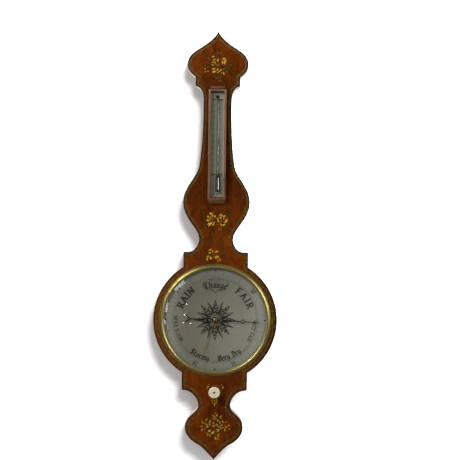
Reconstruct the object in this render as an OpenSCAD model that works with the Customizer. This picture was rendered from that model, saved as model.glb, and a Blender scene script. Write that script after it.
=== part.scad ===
// A wheel barometer: a mercury siphon tube, a float and a dial in a banjo-shaped case.
// Millimetres. Z is up, the front looks towards -Y, and the wall is the plane Y = 0.
// The origin is the centre of the hanging hole. Heights are above the dial's centre,
// drops are below it, and a depth is a distance from the wall towards the front.

/* [Case outline] */
// Height of the pointed top above the dial's centre
head_tip_h = 721.5; // [712:0.5:740]
// Height of the widest part of the head
head_wide_h = 639.5; // [630:0.5:650]
// Width of the head
head_w = 152; // [125:1:185]
// Height of the step between the head and its block
head_block_h = 606; // [600:1:610]
// Width of the block under the head
head_block_w = 111; // [95:1:120]
// Height of the foot of that block, where the neck starts
neck_top_h = 585; // [576:1:590]
// Width of the neck where it is slimmest
neck_w = 69.5; // [66:0.5:84]
// Height of the slimmest part of the neck
neck_slim_h = 531; // [500:1:540]
// Height where the neck begins to flare
neck_foot_h = 384.5; // [370:0.5:420]
// Width of the neck where it begins to flare
neck_foot_w = 87.5; // [80:0.5:105]
// Height of the widest part of the swell
swell_h = 294.5; // [285:0.5:305]
// Width of the swell
swell_w = 166.5; // [138:0.5:200]
// Height of the waist over the round body
waist_h = 203; // [196:1:215]
// Width of that waist
waist_w = 84; // [76:1:101]
// Height of the shoulder block's top
shoulder_h = 169.5; // [160:0.5:176]
// Width of the shoulder block
shoulder_w = 161; // [150:1:194]
// Radius of the round body
body_r = 154.5; // [153:0.5:186]
// Drop of the foot of the block under the round body
under_block_drop = 175.5; // [170:0.5:182]
// Width of that block
under_block_w = 163; // [150:1:196]
// Drop of the lower waist
low_waist_drop = 213.5; // [206:0.5:222]
// Width of the lower waist
low_waist_w = 79; // [78:1:96]
// Drop of the widest part of the base
base_wide_drop = 268; // [262:1:280]
// Width of the base
base_w = 144.5; // [121:0.5:174]
// Drop of the pointed foot
base_tip_drop = 348; // [335:1:370]

/* [Case construction] */
// Depth of the case, from the wall to the front of the veneer
case_depth = 44; // [44:0.5:54]
// Thickness of the front veneer
veneer_t = 1.5; // [1:0.1:2.5]
// Thickness of the wooden lip that the dial lies on
lip_t = 9; // [6:0.5:9]
// Width of the step that the dial lies on
dial_seat_w = 12; // [8:0.5:16]
// Radius of the back door
door_r = 133; // [125:0.5:136]
// Thickness of the back door
door_t = 5; // [4:0.5:5.5]
// How far the back door lies below the back of the case
door_recess = 2.5; // [2.5:0.1:3]
// Width of the step that the back door closes on
door_seat_w = 5; // [4:0.5:8]
// Thickness of the neck cover and the lower cover
cover_t = 5; // [4:0.5:5.5]
// How far a cover reaches past the hollow that it closes
cover_lap = 3; // [2.5:0.1:3.5]
// Gap round a piece that lies in a recess
fit = 0.3; // [0.2:0.05:0.5]
// Gap round a turning shaft
run_fit = 0.05; // [0.02:0.01:0.1]
// Gap round a shaft that a wheel or a hand is fixed to
seat_fit = 0.02; // [0.01:0.01:0.04]

/* [Hanging plate] */
// Height of the hanging hole above the dial's centre
hang_h = 690; // [684:1:696]
// Radius of the hanging hole
hang_hole_r = 4.5; // [3:0.25:5.5]
// Width of the hanging plate
hang_plate_w = 18; // [16:0.5:20]
// Thickness of the hanging plate
hang_plate_t = 2; // [1.5:0.1:3]

/* [Dial and bezel] */
// Radius of the dial plate
dial_r = 133; // [132:0.25:134]
// Thickness of the dial plate
dial_t = 1.5; // [1:0.1:2]
// How far the dial's face lies below the front of the case
dial_inset = 3; // [2.8:0.1:4]
// Radius of the dial that shows inside the bezel
sight_r = 128.25; // [120:0.25:128.5]
// Outer radius of the bezel
bezel_r = 140.5; // [139:0.25:146]
// Radius of the bright half-round bead
bead_r = 2.5; // [1.8:0.1:2.8]
// Thickness of the dial glass
glass_t = 2; // [1.5:0.1:2.4]
// How far the convex glass rises in the middle
glass_rise = 12; // [10:0.5:16]

/* [Hands] */
// Mercury column at rest, in inches
reading_in = 30.39; // [29.5:0.01:31]
// Turn of the hand for each inch of mercury, in degrees
turn_per_inch = 104; // [90:1:120]
// Reading at the top of the dial, in inches
dial_top_in = 29.5; // [29:0.1:30]
// Length of the indicator hand
hand_len = 112; // [90:1:114]
// Length of the indicator hand's tail
tail_len = 74; // [60:1:86]
// Thickness of the indicator hand
hand_t = 0.8; // [0.6:0.1:1]
// Length of the set hand
set_hand_len = 91; // [75:1:108]
// Direction of the set hand, in degrees clockwise from the top
set_hand_angle = 196.8; // [0:0.1:360]
// Thickness of the set hand
set_hand_t = 0.7; // [0.5:0.1:0.9]

/* [Movement] */
// Radius of the arbor that carries the hand
arbor_r = 1.25; // [1:0.05:1.5]
// Outer radius of the fixed bush round the arbor
bush_r = 2.4; // [2:0.1:2.6]
// Outer radius of the set hand's pipe
pipe_r = 3.4; // [3:0.1:3.8]
// Radius of the threads of the float and the counterweight
thread_half_t = 0.25; // [0.2:0.05:0.3]
// Radius of the endless cord of the set hand
cord_half_t = 0.75; // [0.5:0.05:0.9]
// Radius of the cord's loop round both cord pulleys
cord_loop_r = 9; // [8:0.25:9.5]
// Height of the pillars above and below the arbor
pillar_h = 26; // [23:0.5:30]
// Radius of the pillars
pillar_r = 2.5; // [2:0.1:3]
// Drop of the set knob below the dial's centre
knob_drop = 180; // [176:0.5:183]
// Radius of the set knob
knob_r = 14.4; // [12:0.1:17]
// Radius of the knob's arbor
knob_arbor_r = 2.5; // [2:0.1:3]

/* [Siphon tube] */
// Outer radius of the siphon tube
tube_r = 4.5; // [4:0.1:4.8]
// Radius of the siphon tube's bore
bore_r = 2.8; // [2.4:0.1:3]
// Distance between the tube's long and short limbs
limb_gap = 14; // [13:0.5:15]
// Depth of the tube's axis
tube_depth = 19; // [18:0.5:20]
// Height of the mercury in the long limb
mercury_high_h = 650; // [645:1:655]
// Drop of the centre of the tube's bend
bend_drop = 232; // [225:1:240]
// Height of the tube's closed end
tube_end_h = 668; // [664:1:672]
// Drop of the short limb's open mouth
mouth_drop = 48; // [44:1:52]
// Radius of the float
float_r = 2.3; // [2:0.1:2.3]
// Length of the float
float_len = 14; // [10:0.5:18]
// Radius of the counterweight
weight_r = 1.9; // [1.5:0.1:2]
// Length of the counterweight
weight_len = 16; // [12:0.5:20]
// Drop of the counterweight's foot
weight_drop = 83; // [80:0.5:90]

/* [Thermometer] */
// Width of the thermometer box
box_w = 44; // [42:0.5:54]
// Height of the box's top above the dial's centre
box_top_h = 575.5; // [560:0.5:580]
// Height of the box's foot above the dial's centre
box_foot_h = 300.75; // [290:0.25:310]
// How far the box stands out of the case
box_d = 16; // [15:0.5:19]
// Width of the box's window
window_w = 34; // [30:0.5:36]
// Width of the cap and base mouldings
moulding_w = 37; // [32:0.5:44]
// Thickness of the box's glass
pane_t = 1.8; // [1.2:0.1:2]
// Distance of the thermometer tube from the middle of the plate
therm_x = 2; // [0:0.25:5]
// Radius of the thermometer tube
therm_r = 3.5; // [2.5:0.1:4]
// Radius of the thermometer bulb
bulb_r = 5.5; // [4.5:0.1:6]
// Height of the top of the thermometer's mercury thread
therm_reading_h = 445; // [400:1:520]

/* [Hidden] */

round_fn = 96;
wide_fn = 240;
small_fn = 32;
curve_steps = 8;
past = 1;

// Depths of the layers, from the wall to the front
carcass_t = case_depth - veneer_t;
dial_front = case_depth - dial_inset;
dial_back = dial_front - dial_t;
cavity_front = dial_back - lip_t;
door_seat = door_recess + door_t;
cord_depth = dial_back - 4.5;
well_front = cord_depth + 2.5;
movement_t = 2;
plate_front = cord_depth - 2.5;
plate_back = plate_front - movement_t;
bridge_front = tube_depth - 7;
bridge_back = bridge_front - movement_t;

// Radii of the openings in the round body
dial_play = 0.5;
aperture_r = dial_r + dial_play;
lip_r = dial_r - dial_seat_w;
door_hole_r = door_r + 0.9;
cavity_r = door_hole_r - door_seat_w;

// The thread runs at this radius, so that one inch of mercury turns the hand as the dial says.
// Both mercury levels move, so the float moves half of what the column changes.
inch = 25.4;
thread_r = inch / 2 / (turn_per_inch * PI / 180);
hand_angle = (reading_in - dial_top_in) * turn_per_inch;
mercury_low_h = mercury_high_h - reading_in * inch;
float_x = thread_r;
long_x = float_x + limb_gap;
mercury_r = bore_r - run_fit;

// The hollows for the tube, and the well for the knob's pulley and cord
tube_play = 1.5;
channel_w = 2 * (tube_r + tube_play);
channel_depth = tube_depth + tube_r + tube_play;
channel_top = tube_end_h + 3;
hollow_start = 100;
pit_left = float_x - tube_r - tube_play;
pit_right = long_x + tube_r + tube_play;
pit_drop = bend_drop + limb_gap / 2 + tube_r + 3;
flange_r = cord_loop_r + 1.5;
well_half_w = flange_r + 2.5;
well_drop = knob_drop + flange_r + 4.5;
rim_gap = 5;
rim_h = door_r + rim_gap;
board_h = rim_h - 1;

// Covers, each as the left and right edge and the foot and top
neck_cover_box = [long_x - channel_w / 2 - cover_lap, long_x + channel_w / 2 + cover_lap,
    rim_h, channel_top + 4];
lower_cover_box = [-well_half_w - 9, pit_right + 7, -pit_drop - 15, -rim_h];
pin_r = 0.6;
pin_deep = 7;
pin_inset = cover_lap / 2;
pin_end_gap = 6;
pin_count = 7;
cover_screw_inset = 4;

// Hanging plate
hang_plate_top = hang_plate_w / 2;
hang_plate_foot = -31;
hang_plate_cut = 4;
hang_pocket = 12;
hang_screw_zs = [-13, -24];

// Door hinge and button
door_hinge_x = door_r + 3;
door_hinge_depth = 2.3;
knuckle_r = 2;
hinge_pin_r = 0.9;
hinge_half_h = 20;
knuckle_half_h = 7;
hinge_leaf_t = 0.9;
hinge_leaf_w = 11;
hinge_leaf_depth = 0.4;
hinge_screw_zs = [-13, 0, 13];
case_leaf_screw_x = door_hinge_x + 7;
door_leaf_screw_x = door_hinge_x - 9;
button_x = -door_r - 10;
button_t = 1.4;
button_half_w = 4;
button_heel = 5.5;
button_arm = 13;

// Bezel
glass_r = sight_r + 2.75;
skirt_r = aperture_r - 0.9;
bezel_back = case_depth + 0.2;
flange_front = bezel_back + 1.8;
glass_stop = bezel_back + 2.2;
bead_at_r = glass_r + 1.75;
bezel_hinge_x = bezel_r + 1.7;
bezel_hinge_depth = case_depth + 0.1;
bezel_knuckle_r = 1.4;
bezel_pin_r = 0.6;
bezel_hinge_half_h = 8;
bezel_knuckle_half_h = 3;
bezel_leaf_t = 0.7;
bezel_leaf_w = 6;
glass_ball_r = (glass_r * glass_r + glass_rise * glass_rise) / (2 * glass_rise);
glass_crown = glass_stop + glass_rise - 0.8;
dial_screw_r = lip_r + 3;

// Hands
hand_depth = dial_front + 4;
set_hand_depth = dial_front + 1.4;
hub_r = 7.75;
hand_wire = 1.3;
loop_at = 15;
loop_r = 5.9;
lozenge_at = 69.9;
lozenge_half_w = 6.4;
lozenge_half_l = 6.6;
barbs_at = hand_len - 15;
set_loop_at = pipe_r + 10.6;
set_loop_r = 5.6;
set_bar_at = set_hand_len - 23;
set_bar_half_w = 3.2;
cap_r = 5.4;
arbor_out = 1;
pulley_half_t = 1.8;

// Knob
bush_hole_r = 5;
bush_flange_r = 6.6;
bush_flange_t = 0.5;

// Thermometer
plate_t = 1.2;
washer_r = 4.6;
washer_t = 0.9;
therm_plate_front = case_depth + plate_t;
therm_depth = therm_plate_front + bulb_r + 0.2;
pane_front = case_depth + box_d - 1.7;
rebate_w = 1.5;
box_wall = (box_w - window_w) / 2 - rebate_w;
rail_h = 6;
bulb_foot_h = box_foot_h + 19;
bulb_len = 41.5;
therm_top_h = box_top_h - 22;
clip_h = 3.2;
clip_heights = [therm_top_h - 2.3, bulb_foot_h + bulb_len + 2.75];

// Screws, each as its head's radius and thickness, and its shank's radius and length
cover_screw = [2.1, 1.1, 1.05, cover_t + 6];
hang_screw = [3, 0.9, 1.5, 14];
case_leaf_screw = [1.9, hinge_leaf_depth, 1, 9.5];
door_leaf_screw = [1.9, 0.7, 1, hinge_leaf_t + 4.4];
button_screw = [2.8, 0.7, 1.2, 11];
dial_screw = [1.9, 0.9, 0.95, dial_t + 6];
bridge_screw = [2.6, 1.4, 1.5, movement_t + 8];
plate_screw = [1.7, 0.8, 0.85, plate_t];
washer_screw = [2.3, 0.8, 1.25, plate_t + washer_t];
head_gap = 0.1;
slot_half_w = 0.3;

function bez(a, b, c, d, n = curve_steps) = [for (i = [1 : n]) let (t = i / n, s = 1 - t)
    a * pow(s, 3) + b * 3 * s * s * t + c * 3 * s * t * t + d * pow(t, 3)];

module at_dial() translate([0, 0, -hang_h]) children();

// A flat shape drawn as X and Z, and its thickness towards the front
module slab(depth, thick) rotate([90, 0, 0]) translate([0, 0, depth]) linear_extrude(thick) children();

// A shape turned about the Y axis, drawn as radius and depth
module turned(fn = round_fn) rotate([90, 0, 0]) rotate_extrude($fn = fn) children();

// A round bar along Y, between two depths
module bar(r, from, to, x = 0, z = 0, fn = round_fn)
    translate([x, 0, z]) rotate([90, 0, 0]) translate([0, 0, from]) cylinder(r = r, h = to - from, $fn = fn);

// A block given by its left and right edge, foot and top, and two depths
module block(left, right, foot, top, from, to)
    translate([left, -to, foot]) cube([right - left, to - from, top - foot]);

// A slotted screw with its head outermost; it points to the front, or else to the wall
module screw(x, z, depth, size, to_front = true)
    translate([x, -depth, z]) rotate([to_front ? 90 : -90, 0, 0])
    difference() {
        union() {
            cylinder(r = size[0], h = size[1], $fn = small_fn);
            cylinder(r = size[2], h = size[1] + size[3], $fn = small_fn);
        }
        translate([-size[0] - past, -slot_half_w, -past])
            cube([2 * size[0] + 2 * past, 2 * slot_half_w, past + size[1] * 0.45]);
    }

// How deep the pilot hole of a screw reaches when the screw's head lies at a depth
function pilot_depth(depth, size) = depth + size[1] + size[3] + past;

// The hole for a screw's shank, between two depths
module shank_hole(x, z, size, from, to) bar(size[2] + run_fit, from, to, x, z, small_fn);

// The sinking for a screw's head, down to a depth
module head_hole(x, z, size, depth) bar(size[0] + head_gap, -past, depth, x, z, small_fn);

// A plate outline with its corners cut
module cut_plate(left, right, foot, top, cut)
    polygon([[left + cut, foot], [right - cut, foot], [right, foot + cut], [right, top - cut],
        [right - cut, top], [left + cut, top], [left, top - cut], [left, foot + cut]]);

// Half of the case's front, from the pointed top down the right side to the foot
function case_half() =
    let (
        head = [head_w / 2, head_wide_h],
        ogee = [head_w * 0.296, head_tip_h - 42],
        lobe_end = [head_block_w / 2 + 1, head_block_h + 2.5],
        block_top = [head_block_w / 2, head_block_h],
        block_foot = [head_block_w / 2, neck_top_h],
        neck_start = [neck_w / 2, neck_top_h - 31],
        slim = [neck_w / 2, neck_slim_h],
        foot = [neck_foot_w / 2, neck_foot_h],
        swell = [swell_w / 2, swell_h],
        waist = [waist_w / 2, waist_h],
        shoulder = [waist_w / 2 + 24, shoulder_h],
        under = [low_waist_w / 2 + 37, -under_block_drop],
        low_waist = [low_waist_w / 2, -low_waist_drop],
        base = [base_w / 2, -base_wide_drop],
        base_ogee = [base_w * 0.277, -base_tip_drop + 37.5]
    )
    concat(
        [[0, head_tip_h]],
        bez([0, head_tip_h], [8, head_tip_h - 17], ogee + [-18, 11], ogee),
        bez(ogee, ogee + [17, -10.5], head + [0, 19.5], head),
        bez(head, head + [0, -15.5], lobe_end + [9.5, 7], lobe_end),
        [block_top, block_foot],
        bez(block_foot, block_foot + [-5, 0], neck_start + [1.3, 25], neck_start),
        bez(neck_start, neck_start - [0, 6], slim + [0, 6], slim, 2),
        bez(slim, slim - [0, 51], foot + [-6.25, 40.5], foot),
        bez(foot, foot + [4.25, -26.5], swell + [0, 37.5], swell),
        bez(swell, swell - [0, 42.5], waist + [0, 26], waist),
        bez(waist, waist - [0, 18], shoulder + [-12, 1.5], shoulder),
        [[shoulder_w / 2, shoulder_h], [under_block_w / 2, -under_block_drop], under],
        bez(under, under - [20.4, 0], low_waist + [0, 16.5], low_waist),
        bez(low_waist, low_waist - [0, 20], base + [0, 30], base),
        bez(base, base - [0, 23], base_ogee + [12, 5.5], base_ogee),
        bez(base_ogee, base_ogee - [12, 6.5], [14, 15 - base_tip_drop], [0, -base_tip_drop])
    );

module case_outline() {
    half = case_half();
    polygon(concat(half, [for (i = [len(half) - 2 : -1 : 1]) [-half[i][0], half[i][1]]]));
}

module case_front(depth, thick) {
    slab(depth, thick) case_outline();
    bar(body_r, depth, depth + thick, fn = wide_fn);
}

module case_screw_holes() {
    for (p = lower_cover_screw_places())
        shank_hole(p[0], p[1], cover_screw, cover_t - past, pilot_depth(head_gap, cover_screw));
    for (p = neck_pin_places())
        bar(pin_r + run_fit, cover_t - past, cover_t + pin_deep + past, p[0], p[1], small_fn);
    for (z = hinge_screw_zs)
        shank_hole(case_leaf_screw_x, z, case_leaf_screw, 0, pilot_depth(0, case_leaf_screw));
    shank_hole(button_x, 0, button_screw, 0, pilot_depth(head_gap, button_screw));
    for (p = dial_screw_places())
        shank_hole(p[0], p[1], dial_screw, dial_front - dial_screw[3] - past, dial_back + past);
    for (z = hang_screw_zs)
        shank_hole(0, hang_h + z, hang_screw, 0, pilot_depth(head_gap, hang_screw));
}

// The wooden carcass, glued up from a neck board, a round body and a base board.
// It is the part of the banjo shape between two heights, hollowed from behind.
module carcass(foot, top) {
    color("saddlebrown")
    at_dial()
    difference() {
        intersection() {
            case_front(0, carcass_t);
            block(-body_r - past, body_r + past, foot, top, -past, carcass_t + past);
        }
        bar(aperture_r, dial_back, carcass_t + past, fn = wide_fn);
        bar(lip_r, cavity_front - past, dial_back + past, fn = wide_fn);
        bar(cavity_r, door_seat - past, cavity_front, fn = wide_fn);
        bar(door_hole_r, -past, door_seat, fn = wide_fn);
        tube_hollows();
        cover_recess(neck_cover_box);
        cover_recess(lower_cover_box);
        bar(bush_hole_r + run_fit, well_front - past, carcass_t + past, 0, -knob_drop, small_fn);
        hanging_plate_recess();
        door_fitting_recesses();
        case_screw_holes();
        bezel_hinge_recess();
    }
}

module neck_board() carcass(board_h, head_tip_h + past);

module round_body() carcass(-board_h, board_h);

module base_board() carcass(-base_tip_drop - past, -board_h);

// The neck's channel, the pit for the bend, and the well, each with its opening at the back
module tube_hollows() {
    half_w = channel_w / 2;
    back = door_seat + past;
    block(long_x - half_w, long_x + half_w, hollow_start, channel_top, door_seat, channel_depth);
    block(long_x - half_w, long_x + half_w, rim_h + rim_gap, channel_top, -past, back);
    block(-well_half_w, well_half_w, -well_drop, -hollow_start, door_seat, well_front);
    block(pit_left, pit_right, -pit_drop, -hollow_start, door_seat, channel_depth);
    block(-well_half_w, float_x, -well_drop, -rim_h - rim_gap, -past, back);
    block(pit_left, pit_right, -pit_drop, -rim_h - rim_gap, -past, back);
}

module cover_recess(box) block(box[0] - fit, box[1] + fit, box[2] - fit, box[3] + fit, -past, cover_t);

module hanging_plate_recess()
    translate([0, 0, hang_h]) {
        slab(-past, past + hang_plate_t)
            cut_plate(-hang_plate_w / 2 - fit, hang_plate_w / 2 + fit,
                hang_plate_foot - fit, hang_plate_top + fit, hang_plate_cut);
        bar(hang_hole_r + 2.5, 0, hang_pocket, fn = small_fn);
    }

// Recesses in the back for the door's hinge, and for the button with its quarter turn
module door_fitting_recesses() {
    half_h = hinge_half_h + fit;
    block(door_hinge_x - 2 * knuckle_r, door_hinge_x + knuckle_r + 1, -half_h, half_h,
        -past, door_hinge_depth + knuckle_r + fit);
    block(door_hinge_x, door_hinge_x + hinge_leaf_w + fit, -half_h, half_h,
        -past, hinge_leaf_depth + hinge_leaf_t + head_gap);
    block(button_x - button_heel - fit, button_x + button_arm + 1, -button_arm - 0.5, button_heel + fit,
        -past, door_recess);
}

// The place of the bezel's hinge in the front of the case
module bezel_hinge_recess() {
    block(bezel_hinge_x - bezel_knuckle_r - fit, bezel_hinge_x + bezel_knuckle_r + fit,
        -bezel_hinge_half_h - fit, bezel_hinge_half_h + fit,
        bezel_hinge_depth - bezel_knuckle_r - fit, case_depth + past);
    block(bezel_hinge_x - bezel_leaf_w - fit, bezel_hinge_x, -bezel_hinge_half_h - fit,
        bezel_hinge_half_h + fit, case_depth - bezel_leaf_t, case_depth + past);
}

module front_veneer() {
    color("sienna")
    at_dial()
    difference() {
        case_front(carcass_t, veneer_t);
        bar(aperture_r, carcass_t - past, case_depth + past, fn = wide_fn);
        bar(bush_hole_r + run_fit, carcass_t - past, case_depth + past, 0, -knob_drop, small_fn);
        bezel_hinge_recess();
    }
}

function neck_pin_places() = [for (side = [0, 1], i = [0 : pin_count - 1])
    [neck_cover_box[side] + (side == 0 ? pin_inset : -pin_inset),
     neck_cover_box[2] + pin_end_gap
         + (neck_cover_box[3] - neck_cover_box[2] - 2 * pin_end_gap) * i / (pin_count - 1)]];

function lower_cover_screw_places() = [for (x = [0, 1], z = [2, 3])
    [lower_cover_box[x] + (x == 0 ? cover_screw_inset : -cover_screw_inset),
     lower_cover_box[z] + (z == 2 ? cover_screw_inset : -cover_screw_inset)]];

module neck_cover() {
    color("peru")
    at_dial()
    difference() {
        block(neck_cover_box[0], neck_cover_box[1], neck_cover_box[2], neck_cover_box[3], 0, cover_t);
        for (p = neck_pin_places())
            bar(pin_r + run_fit, -past, cover_t + past, p[0], p[1], small_fn);
    }
}

module neck_cover_pins() {
    color("goldenrod")
    at_dial()
    for (p = neck_pin_places())
        bar(pin_r, 0, cover_t + pin_deep, p[0], p[1], small_fn);
}

module lower_cover() {
    color("peru")
    at_dial()
    difference() {
        block(lower_cover_box[0], lower_cover_box[1], lower_cover_box[2], lower_cover_box[3], 0, cover_t);
        for (p = lower_cover_screw_places()) {
            shank_hole(p[0], p[1], cover_screw, -past, cover_t + past);
            head_hole(p[0], p[1], cover_screw, head_gap + cover_screw[1]);
        }
    }
}

module lower_cover_screws() {
    color("goldenrod")
    at_dial()
    for (p = lower_cover_screw_places())
        screw(p[0], p[1], head_gap, cover_screw);
}

module hanging_plate() {
    color("goldenrod")
    difference() {
        slab(0, hang_plate_t)
            cut_plate(-hang_plate_w / 2, hang_plate_w / 2, hang_plate_foot, hang_plate_top, hang_plate_cut);
        bar(hang_hole_r, -past, hang_plate_t + past);
        for (z = hang_screw_zs) {
            shank_hole(0, z, hang_screw, -past, hang_plate_t + past);
            head_hole(0, z, hang_screw, head_gap + hang_screw[1]);
        }
    }
}

module hanging_plate_screws() {
    color("goldenrod")
    for (z = hang_screw_zs)
        screw(0, z, head_gap, hang_screw);
}

module back_door() {
    color("peru")
    at_dial()
    difference() {
        bar(door_r, door_recess, door_seat, fn = wide_fn);
        for (z = hinge_screw_zs)
            shank_hole(door_leaf_screw_x, z, door_leaf_screw, door_recess - past, door_seat + past);
    }
}

// Knuckles of a hinge along Z, at a place in X and depth, over each [foot, top] in spans
module knuckles(x, depth, r, hole_r, spans)
    translate([x, -depth, 0])
    for (s = spans)
        translate([0, 0, s[0]])
        difference() {
            cylinder(r = r, h = s[1] - s[0], $fn = round_fn);
            translate([0, 0, -past]) cylinder(r = hole_r, h = s[1] - s[0] + 2 * past, $fn = round_fn);
        }

// Outer knuckles belong to the fixed leaf and the middle one to the moving leaf
knuckle_gap = 0.2;
function outer_spans(half_h, knuckle_half) = [[-half_h, -knuckle_half], [knuckle_half, half_h]];
function middle_span(knuckle_half) = [[-knuckle_half + knuckle_gap, knuckle_half - knuckle_gap]];

module upright_pin(x, depth, r, half_h)
    translate([x, -depth, -half_h]) cylinder(r = r, h = 2 * half_h, $fn = round_fn);

// The fixed leaf, with the hinge's pin
module door_hinge_case_leaf() {
    color("gold")
    at_dial() {
        difference() {
            union() {
                knuckles(door_hinge_x, door_hinge_depth, knuckle_r, hinge_pin_r + run_fit,
                    outer_spans(hinge_half_h, knuckle_half_h));
                for (s = outer_spans(hinge_half_h, knuckle_half_h))
                    block(door_hinge_x, door_hinge_x + hinge_leaf_w, s[0], s[1],
                        hinge_leaf_depth, hinge_leaf_depth + hinge_leaf_t);
                block(door_hinge_x + knuckle_r + fit, door_hinge_x + hinge_leaf_w,
                    -hinge_half_h, hinge_half_h, hinge_leaf_depth, hinge_leaf_depth + hinge_leaf_t);
            }
            for (z = hinge_screw_zs)
                shank_hole(case_leaf_screw_x, z, case_leaf_screw, -past, 2 * hinge_leaf_t);
        }
        upright_pin(door_hinge_x, door_hinge_depth, hinge_pin_r, hinge_half_h);
    }
}

module door_hinge_door_leaf() {
    color("gold")
    at_dial()
    difference() {
        union() {
            knuckles(door_hinge_x, door_hinge_depth, knuckle_r, hinge_pin_r + run_fit,
                middle_span(knuckle_half_h));
            difference() {
                block(door_leaf_screw_x - 4, door_hinge_x, -knuckle_half_h + knuckle_gap,
                    knuckle_half_h - knuckle_gap, door_recess - hinge_leaf_t, door_recess);
                upright_pin(door_hinge_x, door_hinge_depth, hinge_pin_r + run_fit, hinge_half_h);
            }
            block(door_leaf_screw_x - 4, door_leaf_screw_x + 4, -hinge_half_h + 2, hinge_half_h - 2,
                door_recess - hinge_leaf_t, door_recess);
        }
        for (z = hinge_screw_zs)
            shank_hole(door_leaf_screw_x, z, door_leaf_screw, 0, door_recess + past);
    }
}

module door_hinge_case_screws() {
    color("khaki")
    at_dial()
    for (z = hinge_screw_zs)
        screw(case_leaf_screw_x, z, 0, case_leaf_screw);
}

module door_hinge_door_screws() {
    color("khaki")
    at_dial()
    for (z = hinge_screw_zs)
        screw(door_leaf_screw_x, z, door_recess - hinge_leaf_t - door_leaf_screw[1], door_leaf_screw);
}

// The turn button lies along the rim, and turned a quarter it holds the door
module door_button() {
    color("gold")
    at_dial()
    translate([button_x, 0, 0])
    difference() {
        slab(door_recess - 0.2 - button_t, button_t)
            cut_plate(-button_half_w, button_half_w, -button_arm, button_heel, 2);
        shank_hole(0, 0, button_screw, -past, door_recess + past);
    }
}

module door_button_screw() {
    color("khaki")
    at_dial()
    screw(button_x, 0, head_gap, button_screw);
}

// The bezel's section: skirt, flange with a groove, lip over the glass, and bright bead
module bezel_section() {
    difference() {
        union() {
            polygon([[glass_r + 0.2, dial_front + 1.6], [skirt_r, dial_front + 1.6], [skirt_r, bezel_back],
                [bezel_r, bezel_back], [bezel_r, flange_front - 0.4], [bezel_r - 0.4, flange_front],
                [bead_at_r + bead_r + 0.5, flange_front], [bead_at_r + bead_r - 0.1, flange_front + 1.2],
                [sight_r + 1.6, flange_front + 1.2], [sight_r, flange_front + 0.7],
                [sight_r, glass_stop], [glass_r + 0.2, glass_stop]]);
            translate([bead_at_r, flange_front + 1.2]) circle(r = bead_r, $fn = round_fn);
        }
        translate([bezel_r - 2.2, flange_front + 0.3]) circle(r = 0.7, $fn = small_fn);
        translate([0, -past]) square([glass_r + 0.2, glass_stop + past]);
    }
}

module bezel() {
    color("gold")
    at_dial()
    difference() {
        turned(wide_fn) bezel_section();
        block(bezel_hinge_x - bezel_knuckle_r - fit, bezel_hinge_x + bezel_knuckle_r + past,
            -bezel_hinge_half_h - fit, bezel_hinge_half_h + fit, bezel_back - past, flange_front + past);
        block(bezel_hinge_x - bezel_leaf_w - fit, bezel_hinge_x, -bezel_hinge_half_h - fit,
            bezel_hinge_half_h + fit, bezel_back - past, bezel_back + bezel_leaf_t);
    }
}

module dial_glass() {
    color("lightcyan", 0.35)
    at_dial()
    difference() {
        intersection() {
            bar(glass_r, bezel_back - 2, glass_crown + past, fn = wide_fn);
            translate([0, glass_ball_r - glass_crown, 0]) sphere(r = glass_ball_r, $fn = wide_fn);
        }
        translate([0, glass_ball_r - glass_crown, 0]) sphere(r = glass_ball_r - glass_t, $fn = wide_fn);
    }
}

// The brass ring that holds the glass in the bezel from behind
module glass_ring() {
    color("goldenrod")
    at_dial()
    turned(wide_fn)
        translate([glass_r - 2.3, dial_front + 1.7]) square([2.3, 0.8]);
}

module bezel_hinge_case_leaf() {
    color("goldenrod")
    at_dial() {
        upright_pin(bezel_hinge_x, bezel_hinge_depth, bezel_pin_r, bezel_hinge_half_h);
        knuckles(bezel_hinge_x, bezel_hinge_depth, bezel_knuckle_r, bezel_pin_r + run_fit,
            outer_spans(bezel_hinge_half_h, bezel_knuckle_half_h));
        block(bezel_hinge_x - bezel_leaf_w, bezel_hinge_x - bezel_knuckle_r - fit,
            -bezel_hinge_half_h, bezel_hinge_half_h, case_depth - bezel_leaf_t, case_depth);
        for (s = outer_spans(bezel_hinge_half_h, bezel_knuckle_half_h))
            block(bezel_hinge_x - bezel_leaf_w, bezel_hinge_x - bezel_pin_r - 0.2, s[0], s[1],
                case_depth - bezel_leaf_t, case_depth);
    }
}

module bezel_hinge_bezel_leaf() {
    color("khaki")
    at_dial() {
        knuckles(bezel_hinge_x, bezel_hinge_depth, bezel_knuckle_r, bezel_pin_r + run_fit,
            middle_span(bezel_knuckle_half_h));
        for (s = middle_span(bezel_knuckle_half_h))
            block(bezel_hinge_x - bezel_leaf_w, bezel_hinge_x - bezel_pin_r - 0.2, s[0], s[1],
                bezel_back, bezel_back + bezel_leaf_t);
        block(bezel_hinge_x - bezel_leaf_w, bezel_hinge_x - bezel_knuckle_r - 0.4,
            -bezel_hinge_half_h + 1, bezel_hinge_half_h - 1, bezel_back, bezel_back + bezel_leaf_t);
    }
}

function dial_screw_places() = [for (a = [0 : 90 : 270]) dial_screw_r * [cos(a), sin(a)]];

module dial_plate() {
    color("silver")
    at_dial()
    difference() {
        bar(dial_r, dial_back, dial_front, fn = wide_fn);
        bar(pipe_r + 0.3, dial_back - past, dial_front + past);
        for (p = dial_screw_places())
            shank_hole(p[0], p[1], dial_screw, dial_back - past, dial_front + past);
    }
}

module dial_screws() {
    color("goldenrod")
    at_dial()
    for (p = dial_screw_places())
        screw(p[0], p[1], dial_front + dial_screw[1], dial_screw, false);
}

// The front plate carries the fixed bush, and the rear bridge carries the arbor's other end
module movement_plate() {
    color("goldenrod")
    at_dial()
    difference() {
        slab(plate_back, plate_front - plate_back) cut_plate(-9, 9, -pillar_h - 6, pillar_h + 6, 3);
        bar(bush_r + seat_fit, plate_back - past, plate_front + past);
    }
}

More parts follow.
